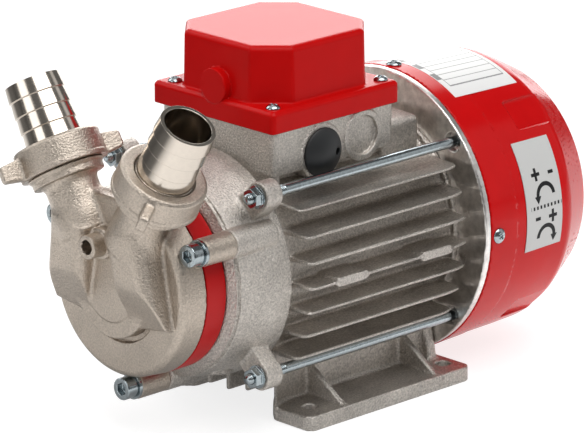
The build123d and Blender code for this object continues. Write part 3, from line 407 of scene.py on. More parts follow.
CONE_START, COVER_RADIUS, COVER_TAPER = COVER_REAR - 21.0, 66.3, 1.7
COVER_SCREW_X = SHIELD_RIM + 4.6


def port_direction(side):
    """Unit vector of a port: upwards, tilted to the near (-1) or far (1) side."""
    return np.array([0.0, side * math.sin(PORT_TILT), math.cos(PORT_TILT)])


def side_fins(x, side, h):
    """Seven slabs as one: the level is the height rounded to the pitch.

    A slab's reach comes from an envelope a little wider than round near the feet, eased in at the rear, and
    it thickens towards its root.
    """
    level = np.clip(np.rint((h + FIN_DROP) / FIN_PITCH), -3, 3) * FIN_PITCH - FIN_DROP
    ease = 0.018 * np.clip(x - 32.0, 0.0, 12.0) ** 2
    reach = np.sqrt((59.4 + 0.0018 * level ** 2) ** 2 - level ** 2) - ease
    plan = convex([between(x, FIN_FRONT, FIN_REAR), side - reach], 2.6)
    thick = 0.62 + 0.045 * np.clip(reach - side, 0.0, 14.0)
    return convex([plan, np.abs(h - level) - thick], 0.55)


def belly_fins(x, y, h):
    """Four upright slabs below the core as one: the column is Y rounded to odd half pitches."""
    pitch, half, radius = 12.0, 1.1, 61.0
    column = np.clip(np.rint(y / pitch - 0.5) + 0.5, -1.5, 1.5) * pitch
    drop = np.sqrt(radius ** 2 - column ** 2)
    slab = [np.abs(y - column) - half, between(h, -drop, -20.0), between(x, FIN_FRONT, FIN_REAR)]
    return convex(slab, 0.85)


def feet(x, side, z):
    """Both feet: a plate with cut corners and screw holes, a flared wall, an end rib and two gussets."""
    front, rear, inner, outer, top = -53.2, 49.5, 25.0, 55.0, 6.8
    face, wall_top, notch, corner = 30.0, 39.7, 7.5, 3.0
    middle, half = (front + rear) / 2, (rear - front) / 2
    plan = convex([between(x, front, rear), between(side, inner, outer),
                   sloped(np.abs(x - middle) - half, side - outer + corner, 1, 1),
                   sloped(notch - (x - front), inner - side, 1, 1)], 0.8)
    foot = convex([plan, between(z, 0.0, top)], 0.7)
    flare = 3.75 * np.clip((-38.2 - x) / 15.0, 0.0, 1.0) ** 2
    wall = convex([side - face - flare, inner + np.clip(front + notch - x, 0.0, notch) - side,
                   between(x, front, FIN_REAR), between(z, 2.0, wall_top)], 0.9)
    end_rib = convex([sloped(side - face, z - wall_top, 0.979, 0.203), inner - side,
                      between(x, 40.3, 45.5), between(z, 3.4, wall_top)], 0.8)
    wall = joined(wall, end_rib, 6.0)
    gusset = convex([np.abs(np.abs(x) - 29.0) - 1.55, sloped(side - face, z - 21.8, 15, 22),
                     inner + 2.0 - side, 4.0 - z], 0.7)
    foot = joined(joined(foot, wall, 2.4), gusset, 1.8)
    return carved(foot, np.hypot(np.abs(x) - 42.0, side - 43.5) - 3.5, 0.6)


def finned_body(p):
    """Core with side fins, belly fins, two ejector pads on each side, rear ring and feet, bored through."""
    x, y, h = p[:, 0], p[:, 1], p[:, 2] - SHAFT_Z
    side, off_axis = np.abs(y), np.hypot(y, h)
    body = convex([off_axis - CORE, between(x, FIN_FRONT, HOUSING_REAR)], 0.3)
    body = joined(body, side_fins(x, side, h), 2.0)
    body = joined(body, belly_fins(x, y, h), 3.0)
    for station in (-31.4, 21.3):
        pad = convex([convex([np.abs(x - station) - 10.0, np.abs(h + FIN_DROP) - 2.2], 1.9),
                      between(side, 40.0, 59.9)], 0.35)
        body = joined(body, pad, 0.5)
    body = joined(body, convex([off_axis - 49.0, between(x, 43.0, HOUSING_REAR)], 0.5), 0.8)
    body = joined(body, feet(x, side, p[:, 2]), 3.0)
    return np.maximum(body, BORE - off_axis)


def tie_lugs(x, side, rise):
    """Four lugs for the tie rods, folded to one: a boss and a radial web, with the rod's hole to cut."""
    folded = np.stack([x, side, rise + SHAFT_Z], axis=1)
    lug = on_shaft(folded, 6.5, LUG_FRONT, LUG_REAR, TIE_Y, TIE_H, 0.7)
    reach = math.hypot(TIE_Y, TIE_H)
    web = convex([np.abs(side * TIE_H - rise * TIE_Y) / reach - 6.3,
                  between((side * TIE_Y + rise * TIE_H) / reach, 20.0, reach),
                  between(x, LUG_FRONT, LUG_REAR)], 0.7)
    return joined(lug, web, 0.5), np.hypot(side - TIE_Y, rise - TIE_H) - 2.6


def front_casting(p):
    """Bevelled spigot, conical bell and collar with bolt bosses and lugs; seal, bearing and drain cut out."""
    x, y, h = p[:, 0], p[:, 1], p[:, 2] - SHAFT_Z
    side, off_axis = np.abs(y), np.hypot(y, h)
    lip = HOUSING_FRONT - 0.5
    cone = sloped(off_axis - 47.2, x - BELL_FRONT, COLLAR_FRONT - BELL_FRONT, 47.2 - COLLAR)
    body = convex([cone, off_axis - COLLAR, between(x, BELL_FRONT + 0.9, COLLAR_REAR)], 0.35)
    core = convex([off_axis - CORE, between(x, BELL_FRONT - 1.0, FIN_FRONT + 1.0)], 0.2)
    spigot = convex([sloped(off_axis - 42.4, x - lip, 1.0, -1.75), off_axis - 46.9,
                     between(x, lip, BELL_FRONT - 0.2)], 0.3)
    body = np.minimum(np.minimum(body, core), spigot)
    for boss_y, boss_h in HEAD_BOLTS:
        boss = on_shaft(p, 6.4, HOUSING_FRONT, HOUSING_FRONT + 24.5, boss_y, boss_h, 0.9)
        body = joined(body, boss, 1.1)
    lugs, rod_hole = tie_lugs(x, side, np.abs(h))
    body = np.maximum(joined(body, lugs, 1.6), -rod_hole)
    cavity = convex([off_axis - 37.0, between(x, HOUSING_FRONT + 8.0, COLLAR_FRONT)], 1.0)
    bearing = convex([off_axis - BEARING, between(x, COLLAR_FRONT + 2.0, COLLAR_FRONT + 16.0)], 0.1)
    body = np.maximum(np.maximum(body, -cavity), -bearing)
    body = np.maximum(body, np.where(x < COLLAR_FRONT - 3.0, body, 14.0 - off_axis))
    seal = convex([off_axis - 11.52, between(x, HOUSING_FRONT - 2.0, HOUSING_FRONT + 9.0)], 0.1)
    body = np.maximum(body, -seal)
    drain = np.maximum(np.hypot(x + 76.0, side - 21.0) - 6.5, h + 18.5)
    return carved(body, drain, 0.6)


def box_casting(p):
    """Terminal box base with neck, rear duct, grommet pad and knock-out pad, hollowed round four posts."""
    x, side, z = p[:, 0], np.abs(p[:, 1]), p[:, 2]
    wall, face = 4.0, -BOX_HALF
    inside = BOX_LOW + 2.0
    plan = convex([between(x, BOX_FRONT, BOX_REAR), side - BOX_HALF], 3.5)
    body = convex([plan, between(z, BOX_LOW, BOX_TOP)], 0.5)
    neck = convex([between(x, BOX_FRONT + 3.5, BOX_REAR), side - 26.0, between(z, 90.0, inside)], 1.0)
    front = convex([between(x, BOX_FRONT + 0.3, BOX_FRONT + 7.0), side - 33.0, between(z, 98.0, inside)], 1.0)
    duct = convex([between(x, BOX_REAR - 2.0, 40.0), side - 30.0, between(z, 103.9, 121.5)], 3.0)
    body = joined(joined(joined(body, neck, 3.0), front, 1.0), duct, 1.5)

    def off_line(centre):
        return np.hypot(x - centre[0], z - centre[1])

    for centre, radius, stand in ((GROMMET, 12.6, 0.6), (KNOCKOUT, 11.6, 0.9)):
        pad = convex([off_line(centre) - radius, between(p[:, 1], face - stand, -25.0)], 0.4)
        body = joined(body, np.maximum(pad, z - BOX_TOP), 0.6)
    recess = convex([off_line(KNOCKOUT) - 8.9, between(p[:, 1], face - 5.0, face + 1.0)], 0.2)
    hole = convex([off_line(GROMMET) - 7.5, between(p[:, 1], face - 5.0, face + 7.4)], 0.1)
    body = np.maximum(carved(body, recess, 0.4), -hole)
    hollow = convex([between(x, BOX_FRONT + wall, BOX_REAR - wall), side - BOX_HALF + wall,
                     between(z, BOX_LOW + 3.0, BOX_TOP + 5.0)], 1.0)
    for post_x in (BOX_FRONT + 4.5, BOX_REAR - 4.5):
        hollow = np.maximum(hollow, 5.9 - np.hypot(x - post_x, side - LID_SCREW_Y))
    body = np.maximum(body, -hollow)
    return np.maximum(body, BORE - np.hypot(p[:, 1], z - SHAFT_Z))


def port_leg(p):
    """Hump from a port down beside the disc, folded to one side.

    Its line runs from under the port to its foot. Round that line it is a disc of constant radius seen from
    the front, with a rounded front face; a ball closes its top and a slanted plane cuts its foot flat.
    """
    x, y, h = p[:, 0], p[:, 1], p[:, 2] - SHAFT_Z
    folded = np.stack([x, np.abs(y), h], axis=1)
    top, foot = np.array([PORT_X, 17.0, 27.0]), np.array([-116.6, 24.5, -14.0])
    length = np.linalg.norm(foot - top)
    run, _ = along(folded, top, (foot - top) / length)
    middle = top + (foot - top) * np.clip(run / length, 0.0, 1.0)[:, None]
    lateral = np.hypot(folded[:, 1] - middle[:, 1], h - middle[:, 2])
    radius = 10.6 + np.where(y > 0.0, 0.6, 0.0)
    leg = np.maximum(convex([lateral - radius, middle[:, 0] - x - 11.4], 5.5), between(run, -2.0, length))
    leg = joined(leg, np.linalg.norm(folded - top, axis=1) - 12.2, 3.5)
    return carved(leg, sloped(x + 129.0, h - 5.5, 0.887, 0.462), 1.2)


def head_cover(p):
    """Pump cover: skirt, grooved disc, two legs with flat cut feet, ports, web, vent and bolt bosses."""
    x, y, h = p[:, 0], p[:, 1], p[:, 2] - SHAFT_Z
    side, off_axis = np.abs(y), np.hypot(y, h)
    body = convex([off_axis - 41.2 - (x - RIM) * 1.1 / 13.1, between(x, RIM, JOINT + 5.0)], 3.0)
    groove = convex([between(off_axis, 22.5, 25.6), between(x, RIM - 3.0, RIM + 2.2)], 0.2)
    disc = convex([off_axis - 23.0, between(x, DISC, JOINT)], 0.9)
    body = np.minimum(carved(body, groove, 0.5), disc)
    body = joined(body, convex([off_axis - 15.5, between(x, DISC - 0.5, DISC + 3.0)], 0.4), 0.6)
    body = joined(body, port_leg(p), 1.8)
    run, off = along(np.stack([x, side, h], axis=1), (PORT_X, 0.0, 0.0), port_direction(1))
    tube = convex([off - 11.8, between(run, 26.0, 56.0)], 0.5)
    flange = convex([sloped(off - 11.8, run - 48.2, 1.0, -0.936), off - 17.3, between(run, 45.0, 54.7)], 0.35)
    thread = convex([off - 16.2, between(run, 50.0, 62.0)], 0.5)
    body = joined(body, np.minimum(joined(tube, flange, 1.2), thread), 2.4)
    web = convex([between(x, -121.0, RIM + 4.0), side - 14.0, between(h, 17.0, 41.0)], 1.6)
    body = joined(body, web, 2.6)
    body = joined(body, on_shaft(p, 7.0, -126.0, RIM, 0.0, VENT_H, 0.8), 1.5)
    body = joined(body, on_shaft(p, 5.3, HEAD_FRONT, RIM, 0.0, VENT_H, 0.5), 0.5)
    bosses = np.minimum.reduce([on_shaft(p, 6.2, JOINT - 4.0, HOUSING_FRONT - 0.02, boss_y, boss_h, 0.7)
                                for boss_y, boss_h in HEAD_BOLTS])
    spacer_room = convex([off_axis - 41.03, between(x, JOINT, HOUSING_FRONT + 5.0)], 0.1)
    body = joined(np.maximum(body, x - JOINT), np.maximum(bosses, -spacer_room), 1.2)
    cuts = [np.hypot(y - boss_y, h - boss_h) - 3.15 for boss_y, boss_h in HEAD_BOLTS]
    cuts += [on_shaft(p, 3.15, -140.0, -123.6, 0.0, VENT_H, 0.1),
             on_shaft(p, 9.0, -111.2, JOINT + 3.0, 0.0, 0.0, 0.1),
             convex([off - 9.0, between(run, 28.0, 70.0)], 0.1)]
    return np.maximum(body, -np.minimum.reduce(cuts))


def wing_nut(side, turn):
    """Field of a union nut: a drum with a thread room, an inner flange and two rounded wings."""
    direction = port_direction(side)
    first = np.array([1.0, 0.0, 0.0])
    second = np.cross(direction, first)
    angle = math.radians(turn)
    wing_line = first * math.cos(angle) + second * math.sin(angle)
    across = np.cross(direction, wing_line)
    radius, low, high = 19.6, 55.0, 68.1

    def field(p):
        run, off = along(p, PORT_ORIGIN, direction)
        offset = p - PORT_ORIGIN
        drum = off - radius - 0.35 * np.clip((low + 2.4 - run) / 0.5, 0.0, 1.0)
        body = convex([drum, between(run, low, high), sloped(off - radius, run - high + 1.2, 1, 1)], 0.3)
        reach = np.abs(offset @ wing_line)
        half_high = 5.1 - 0.14 * np.clip(reach - 18.6, 0.0, 11.0)
        side_view = convex([reach - 29.1, np.abs(run - 60.3) - half_high], 1.4)
        body = joined(body, convex([side_view, np.abs(offset @ across) - 2.2], 0.9), 1.6)
        body = np.maximum(body, -convex([off - 16.28, between(run, 40.0, high - 2.0)], 0.1))
        return carved(body, off - 13.9, 0.5)
    return field


def lid(p):
    """Terminal box lid: bevelled flange, eight-sided crown set to the far side, front disc, hollow below."""
    x, y, z = p.T
    x0, x1, low, top = LID_LOW[0], LID_HIGH[0], LID_LOW[2], LID_HIGH[2]
    half, wall, bevel, corner = (x1 - x0) / 2, 2.9, 1.5, 13.5
    along_x, flange_y, crown_y = np.abs(x - (x0 + x1) / 2), np.abs(y - 1.2), np.abs(y - 2.0)
    plan = convex([along_x - half, flange_y - 38.2], 2.4)
    flange_bevel = sloped(plan, z - LID_FLANGE + bevel, 1, 1)
    flange = convex([plan, between(z, low - 1.3, LID_FLANGE), flange_bevel], 0.3)

    def octagon(inset):
        long, wide = half - 3.4 - inset, 34.2 - inset
        cut = sloped(along_x - long, crown_y - wide + corner - inset * 0.59, 1, 1)
        return convex([along_x - long, crown_y - wide, cut], 1.0)

    draft = 0.02 * (z - LID_FLANGE)
    crown = convex([octagon(0.0) + draft, between(z, LID_FLANGE - 4.0, top)], 2.6)
    disc = convex([np.hypot(y - 0.6, z - 147.2) - 8.0, between(x, x0 - 0.25, x0 + 9.0)], 0.5)
    body = np.minimum(joined(flange, crown, 1.2), disc)
    body = np.maximum(body, -np.maximum(octagon(wall), z - top + 2.6))
    for screw_x in (x0 + LID_SCREW_IN, x1 - LID_SCREW_IN):
        body = np.maximum(body, 2.1 - np.hypot(x - screw_x, np.abs(y) - LID_SCREW_Y))
    return body


def cover_radius(x):
    """Outer radius of the fan cover's drum, which tapers evenly to the cone."""
    return COVER_RADIUS - COVER_TAPER * np.clip((x - COVER_FRONT) / (CONE_START - COVER_FRONT), 0.0, 1.0)


def fan_cover(p):
    """Fan cover: tapered drum with a step, rear cone, four screw pockets, radial vents and screw holes."""
    x, y, h = p[:, 0], p[:, 1], p[:, 2] - SHAFT_Z
    off_axis, angle = np.hypot(y, h), np.arctan2(y, h)
    ledge = x - COVER_FRONT - 17.0
    step = 0.35 * (np.clip(ledge / 0.8, 0.0, 1.0) - np.clip((ledge - 0.8) / 20.0, 0.0, 1.0))
    cone = sloped(off_axis - COVER_RADIUS + COVER_TAPER, x - CONE_START, COVER_REAR - CONE_START, 10.6)

    def folded(pitch, offset=0.0):
        """Coordinates across and out from the middle of the nearest of the places round the axis."""
        turn = angle - (np.rint(angle / pitch - offset) + offset) * pitch
        return np.abs(off_axis * np.sin(turn)), off_axis * np.cos(turn)

    def drum(wall, end_wall):
        body = convex([off_axis - cover_radius(x) + step * (wall == 0.0) + wall, cone + wall,
                       x - COVER_REAR + end_wall], 0.9)
        across, out = folded(np.pi / 2, 0.5)
        pocket = convex([across - 7.6 - wall,
                         between(x, CONE_START - 20.5 - wall, CONE_START + 3.0 + wall)], 2.2)
        return carved(body, convex([pocket, 63.3 - out - wall], 0.8), 0.7)

    shell = np.maximum(drum(0.0, 0.0), -drum(1.5, 2.4))
    shell = np.maximum(shell, COVER_FRONT - x)
    across, out = folded(np.pi / 10)
    vent = convex([across - 2.0, between(out, 26.0, 47.0)], 1.9)
    shell = carved(shell, np.maximum(vent, COVER_REAR - 4.0 - x), 0.5)
    across, out = folded(np.pi / 2)
    return np.maximum(shell, -np.maximum(np.hypot(across, x - COVER_SCREW_X) - 2.2, 50.0 - off_axis))


def shield(p):
    """Rear shield: turned plate with its rim, register, bearing seat and blind holes round the tie rods."""
    x, side, rise = p[:, 0], np.abs(p[:, 1]), np.abs(p[:, 2] - SHAFT_Z)
    off_axis, off_rod = np.hypot(side, rise), np.hypot(side - TIE_Y, rise - TIE_H)
    rim = convex([off_axis - 66.0, between(x, SHIELD_FRONT, SHIELD_RIM)], 0.5)
    plate = convex([off_axis - 64.7, between(x, SHIELD_FRONT + 0.5, SHIELD_BACK)], 0.3)
    register = convex([off_axis - 38.48, between(x, SHIELD_FRONT - 3.0, SHIELD_BACK)], 0.3)
    body = np.minimum(np.minimum(rim, plate), register)
    body = carved(body, convex([off_rod - 4.4, between(x, 40.0, SHIELD_FRONT + 3.0)], 0.2), 0.4)
    body = np.maximum(body, 2.42 - off_rod - np.where(x > SHIELD_BACK - 4.0, 9.0, 0.0))
    body = np.maximum(body, 8.0 - off_axis)
    return np.maximum(body, -convex([off_axis - BEARING, between(x, 30.0, SHIELD_BACK - 3.8)], 0.1))


def grommet(p):
    """Rubber plug: a ball's cap for a dome, a plug behind it and a small cable hole to one side."""
    x, z = p[:, 0] - GROMMET[0], p[:, 2] - GROMMET[1]
    out, across = -BOX_HALF - 0.6 - p[:, 1], np.hypot(x, z)
    ball, height = 20.5, 4.2
    dome = np.hypot(across, out - height + ball) - ball
    body = convex([dome, across - 11.0, -0.5 - out], 0.3)
    body = np.minimum(body, convex([across - 7.48, between(out, -7.0, 1.0)], 0.3))
    return carved(body, np.hypot(x - 6.9, z + 0.6) - 1.7, 0.5)


def hexagon(first, second, half):
    """Distance to a hexagon, the greatest over its three pairs of sides, from two coordinates across it."""
    return np.maximum.reduce([np.abs(first * math.cos(turn) + second * math.sin(turn)) - half
                              for turn in (0.0, math.pi / 3, 2 * math.pi / 3)])


def flange_nut(p):
    """Flange nut standing on X = 0 and pointing to -X: hexagon, chamfer cone, flange and hole."""
    x, off, height = p[:, 0], np.hypot(p[:, 1], p[:, 2]), 4.7
    chamfer = sloped(off - 4.45, x + height, 1.0, -1.2)
    body = convex([hexagon(p[:, 1], p[:, 2], 4.0), between(x, -height, 0.0), chamfer], 0.2)
    flange = convex([off - 5.6, between(x, -1.0, 0.0), sloped(off - 4.2, x, 1.0, 1.4)], 0.2)
    return carved(joined(body, flange, 0.3), off - 2.42, 0.3)


def socket_screw(p):
    """Cap screw with its head's underside at X = 0, the head towards -X and the shank towards +X."""
    x, off = p[:, 0], np.hypot(p[:, 1], p[:, 2])
    body = convex([off - 5.0, between(x, -6.0, 0.0)], 0.5)
    body = carved(body, convex([hexagon(p[:, 1], p[:, 2], 2.5), between(x, -9.0, -3.0)], 0.1), 0.25)
    return np.minimum(body, convex([off - 2.95, between(x, -1.0, 33.0)], 0.4))


def cross_screw(radius, height, shank, length):
    """Field of a pan head screw: head on Z = 0 upwards with a cross recess, shank downwards."""
    arm_half, arm_reach = 0.45, radius * 0.55
    ball = (radius ** 2 + (height * 0.85) ** 2) / (1.7 * height)

    def field(p):
        x, y, z = np.abs(p[:, 0]), np.abs(p[:, 1]), p[:, 2]
        off = np.hypot(x, y)
        dome = np.hypot(off, z - height + ball) - ball
        body = convex([off - radius, -z, dome], 0.25)
        cross = np.minimum(np.maximum(x - arm_half, y - arm_reach), np.maximum(y - arm_half, x - arm_reach))
        body = carved(body, np.maximum(cross, height * 0.35 + off * 0.5 - z), 0.2)
        return np.minimum(body, convex([off - shank, between(z, -length, 0.5)], 0.2))
    return field


# Camera: fitted to the photograph by least squares on about fifty points
CAMERA_AZIMUTH, CAMERA_ELEVATION = -44.34, 17.16
CAMERA_PLACE = (-1.4307, -1.4537, 0.7053)
FOCAL_PIXELS, IMAGE_WIDTH, SENSOR = 4772.0, 585, 36.0


def linked(name, data):
    """New object in the scene that shows some data."""
    holder = bpy.data.objects.new(name, data)
    bpy.context.scene.collection.objects.link(holder)
    return holder


def towards(azimuth, elevation):
    """Unit vector from the object; the azimuth is counted from -Y towards +X, both in degrees."""
    turn, rise = math.radians(azimuth), math.radians(elevation)
    return Vector((math.sin(turn) * math.cos(rise), -math.cos(turn) * math.cos(rise), math.sin(rise)))


def make_camera():
    """Camera where the photograph was taken from."""
    data = bpy.data.cameras.new("camera")
    data.sensor_width = SENSOR
    data.sensor_fit = "HORIZONTAL"
    data.lens = FOCAL_PIXELS / IMAGE_WIDTH * SENSOR
    data.clip_end = 50.0
    camera = linked("camera", data)
    camera.location = CAMERA_PLACE
    camera.rotation_euler = towards(CAMERA_AZIMUTH, CAMERA_ELEVATION).to_track_quat("Z", "Y").to_euler()
    bpy.context.scene.camera = camera


def softbox(name, azimuth, elevation, distance, width, height, radiance):
    """Area lamp that faces the object from a direction in degrees and a distance in metres."""
    line = towards(azimuth, elevation)
    lamp = bpy.data.lights.new(name, "AREA")
    lamp.shape = "RECTANGLE"
    lamp.size = width
    lamp.size_y = height
    lamp.energy = radiance * math.pi * width * height
    holder = linked(name, lamp)
    holder.location = line * distance + Vector((0, 0, 0.07))
    holder.rotation_euler = line.to_track_quat("Z", "Y").to_euler()
    holder.visible_camera = False


def make_studio():
    """Pale floor in a dim room with soft boxes round the object. To the camera the floor is an even white; to
    other rays it glows with painted light round the object, stronger towards +X, and a painted shadow darkens
    it under the object.
    """
    floor_material = Material("floor", roughness=0.8, specular_ior_level=0.0,
                              emission_color=(1.0, 1.0, 1.0, 1.0))
    seen = floor_material.node("ShaderNodeLightPath", out="Is Camera Ray")
    east, north = floor_material.axis("X"), floor_material.axis("Y")
    away = (east * east + north * north).math("SQRT") + 0.01
    side = (east * math.sin(math.radians(100.0)) - north * math.cos(math.radians(100.0))) / away
    # Painted light for reflections and bounce: the floor glows more near the object and towards +X
    painted_side_light = side.spread(0.3, 0.85, 0.0, 1.0)
    painted_light = (away.spread(0.35, 0.62, 1.0, 0.12) + painted_side_light * 0.8).math("MINIMUM", 1.0)
    # Painted shadow: inside an ellipse under the object the floor's glow and colour drop to 0.4
    under = ((east + 0.03) / 0.17).math("POWER", 2.0) + ((north - 0.05) / 0.11).math("POWER", 2.0)
    painted_light = painted_light * under.math("SQRT").spread(0.75, 1.3, 0.4, 1.0)
    # Camera rays see an even white floor; the painted light and painted shadow reach only the other rays
    albedo = (1.0 - seen) * painted_light * 0.62 + seen * 0.34
    floor_material.set(base_color=floor_material.mix(albedo, (0.0, 0.0, 0.0), (1.0, 1.0, 1.0)),
                       emission_strength=(1.0 - seen) * (painted_light * 0.5 + painted_side_light * 0.25) + seen * 0.80)
    mesh = bpy.data.meshes.new("floor")
    reach = 12.0
    mesh.from_pydata([(-reach, -reach, 0), (reach, -reach, 0), (reach, reach, 0), (-reach, reach, 0)],
                     [], [(0, 1, 2, 3)])
    mesh.materials.append(floor_material.data)
    floor = linked("floor", mesh)
    world = bpy.data.worlds.new("studio")
    world.use_nodes = True
    background = world.node_tree.nodes["Background"].inputs
    background["Color"].default_value = (1.0, 1.0, 1.0, 1.0)
    background["Strength"].default_value = 0.13
    bpy.context.scene.world = world
    bpy.context.scene.view_settings.view_transform = "Standard"
    softbox("overhead", -120.0, 80.0, 1.5, 1.3, 1.3, 0.7)
    softbox("left_back", -160.0, 32.0, 1.6, 0.9, 1.1, 2.2)
    softbox("left", -98.0, 18.0, 1.6, 0.7, 1.4, 1.7)
    softbox("front", -8.0, 62.0, 1.7, 1.7, 1.2, 3.4)
    softbox("strip", -46.0, 29.0, 1.7, 0.22, 1.0, 1.3)
    softbox("right", 55.0, 20.0, 1.8, 1.2, 1.2, 0.5)
    softbox("backdrop", 134.0, 22.0, 2.0, 1.7, 1.5, 3.3)


# Finishes

def metal(name, colour, rough, grain, depth, spread=0.10):
    """Metal with a grainy skin: bump from noise, and roughness and colour that vary with it."""
    made = Material(name, metallic=1.0)
    skin = made.noise(grain, 3.0, 0.6)
    cloud = made.noise(60.0, 3.0)
    shade = skin.spread(0.35, 0.7) * 0.7 + cloud.spread(0.3, 0.7) * 0.3
    dark = tuple(c * (1 - spread) for c in colour)
    light = tuple(min(c * (1 + spread), 1.0) for c in colour)
    made.set(base_color=made.mix(shade, dark, light),
             roughness=cloud.spread(0.3, 0.7, rough * 0.9, rough * 1.1))
    if depth:
        made.set(normal=made.bump(skin, depth))
    return made


def plain(name, colour, rough, specular=0.5):
    """Paint, plastic or rubber: one colour with a faint cloud in it."""
    made = Material(name, roughness=rough, specular_ior_level=specular)
    cloud = made.noise(90.0, 2.0)
    made.set(base_color=made.mix(cloud.spread(0.3, 0.7), tuple(c * 0.94 for c in colour), colour))
    return made


# A metal's colour, roughness, grain per metre, bump in metres and spread of its shade
FINISHES = {finish.name: finish for finish in (
    metal("cast_aluminium", (0.59, 0.55, 0.505), 0.39, 1150.0, 0.0006, 0.40),
    metal("machined_aluminium", (0.78, 0.75, 0.72), 0.30, 300.0, 0.00004, 0.25),
    metal("nickel_casting", (0.54, 0.47, 0.40), 0.31, 1200.0, 0.0004, 0.26),
    metal("polished_nickel", (0.70, 0.63, 0.55), 0.15, 500.0, 0.0, 0.03),
    metal("zinc_steel", (0.40, 0.45, 0.47), 0.17, 700.0, 0.00006, 0.16),
    metal("brass", (0.70, 0.52, 0.24), 0.3, 900.0, 0.00003),
    metal("steel", (0.56, 0.56, 0.57), 0.28, 900.0, 0.00002),
    metal("lamination", (0.30, 0.30, 0.31), 0.42, 1500.0, 0.00005),
    metal("copper", (0.62, 0.30, 0.16), 0.35, 1200.0, 0.00005),
    plain("red_paint", (0.58, 0.003, 0.004), 0.16, 0.16),
    plain("red_plastic", (0.54, 0.003, 0.003), 0.27, 0.10),
    plain("red_ring", (0.50, 0.004, 0.005), 0.35, 0.2),
    plain("black_rubber", (0.012, 0.013, 0.014), 0.5),
    plain("black_plastic", (0.02, 0.02, 0.021), 0.4),
    plain("magnet", (0.06, 0.06, 0.065), 0.55),
    plain("carbon", (0.03, 0.03, 0.032), 0.5))}
SLOTS = {part["node"]: part["material_slot"] for part in RECORD["subparts"]}
for node_name, node_object in NODES.items():
    node_object.data.materials.clear()
    node_object.data.materials.append(FINISHES[SLOTS[node_name]].data)


# Pieces: meshes from shells

def piece(name, shells, material, body="frame", replaces=(), slot=None):
    """One object from a list of (points, normals, quads) in millimetres; nothing reaches below the floor."""
    points = np.concatenate([shell[0] for shell in shells]) * MM
    points[:, 2] = np.maximum(points[:, 2], 0.0)
    normals = np.concatenate([shell[1] for shell in shells])
    starts = np.cumsum([0] + [len(shell[0]) for shell in shells[:-1]])
    quads = np.concatenate([shell[2] + start for shell, start in zip(shells, starts)])
    mesh = bpy.data.meshes.new(name)
    mesh.vertices.add(len(points))
    mesh.vertices.foreach_set("co", points.astype(np.float32).ravel())
    mesh.loops.add(4 * len(quads))
    mesh.loops.foreach_set("vertex_index", quads.astype(np.int32).ravel())
    mesh.polygons.add(len(quads))
    mesh.polygons.foreach_set("loop_start", np.arange(0, 4 * len(quads), 4, dtype=np.int32))
    mesh.polygons.foreach_set("use_smooth", np.ones(len(quads), bool))
    mesh.update(calc_edges=True)
    mesh.validate()
    if len(mesh.vertices) == len(normals):
        mesh.normals_split_custom_set_from_vertices(normals)
    mesh.materials.append(material.data)
    holder = linked(name, mesh)
    if replaces:
        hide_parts(*replaces)
    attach(holder, body)
    return holder


def stand_in(name, node, shells, body="frame"):
    """Piece that is shown for a CAD node, in the finish of that node's slot."""
    slot = SLOTS[node]
    piece(name, shells, FINISHES[slot], body=body, replaces=[node], slot=slot)


def moved(shell, place, rotation=np.eye(3)):
    """Shell turned by a 3x3 matrix, then shifted."""
    points, normals, quads = shell
    rotation = np.asarray(rotation, float)
    return points @ rotation.T + np.asarray(place, float), normals @ rotation.T, quads


def ring_outline(start, end, inner, outer):
    return [(start, inner), (start, outer), (end, outer), (end, inner)]


# Castings and mouldings: each field is read between two corners, with these grid steps
for piece_name, cad_node, shape, low_corner, high_corner, steps in (
        ("housing_fins", "motor_housing", finned_body, (-57.5, -62, -0.5), (50, 62, 118), (1.9, 0.95, 0.85)),
        ("housing_bell", "motor_housing", front_casting, (-91.5, -56, 8), (-55, 56, 125), (0.7, 0.75, 0.75)),
        ("housing_box", "motor_housing", box_casting, (-57, -37, 89), (41, 36.5, 134), (0.9, 0.9, 0.9)),
        ("cover_casting", "pump_cover", head_cover, (-137.5, -51, 12), (-89.5, 51, 132), (0.65, 0.65, 0.65)),
        ("lid_shell", "terminal_lid", lid, LID_LOW - 2.5, LID_HIGH + (1, 3, 1), (0.8, 0.8, 0.7)),
        ("fan_cover_shell", "fan_cover", fan_cover, FAN_COVER_LOW - 1, FAN_COVER_HIGH + 1, (1.4, 0.85, 0.85)),
        ("shield_plate", "rear_shield", shield, (42, -67, 2.5), (59, 67, 136.5), (0.9, 1.0, 1.0)),
        ("grommet_plug", "cable_grommet", grommet, (-39, -41.5, 107), (-16, -27.5, 131), (0.4, 0.4, 0.4))):
    stand_in(piece_name, cad_node, [surface(shape, low_corner, high_corner, steps)])


# Unions

def barbed_outline():
    """Outline of a hose tail as (run, radius): a collar under the nut, a neck and four sawtooth barbs."""
    bore, collar, neck, crest, root = 10.6, 15.8, 13.3, 13.0, 12.35
    seat, collar_end, start, pitch, count = 63.55, 66.05, 67.8, 7.1, 4
    outline = [(seat, bore), (seat, collar), (collar_end, collar), (collar_end, neck), (start, neck)]
    for base in start + pitch * np.arange(count):
        outline += [(base, crest), (base + pitch - 0.2, root)]
    end = start + count * pitch
    return outline + [(end, root), (end, bore)]


NUT_MIDDLE, NUT_ROOM = 61.5, 30.0
for side_name, side, wing_turn in (("near", -1, 36.0), ("far", 1, -18.0)):
    port_line = port_direction(side)
    centre = PORT_ORIGIN + port_line * NUT_MIDDLE
    nut_shell = surface(wing_nut(side, wing_turn), centre - NUT_ROOM, centre + NUT_ROOM, (0.55, 0.55, 0.55))
    stand_in(side_name + "_nut", side_name + "_wing_nut", [nut_shell], side_name + "_nut")
    tail_shell = turned(barbed_outline(), PORT_ORIGIN, port_line, 0.25, 160)
    stand_in(side_name + "_tail", side_name + "_hose_tail", [tail_shell], side_name + "_tail")

# Spacer ring, set back from its dark seals
stand_in("spacer", "spacer_ring", [turned(ring_outline(JOINT + 0.5, HOUSING_FRONT - 0.9, 36.0, 42.3),
                                          (0, 0, SHAFT_Z), (1, 0, 0), 0.4, 192)])

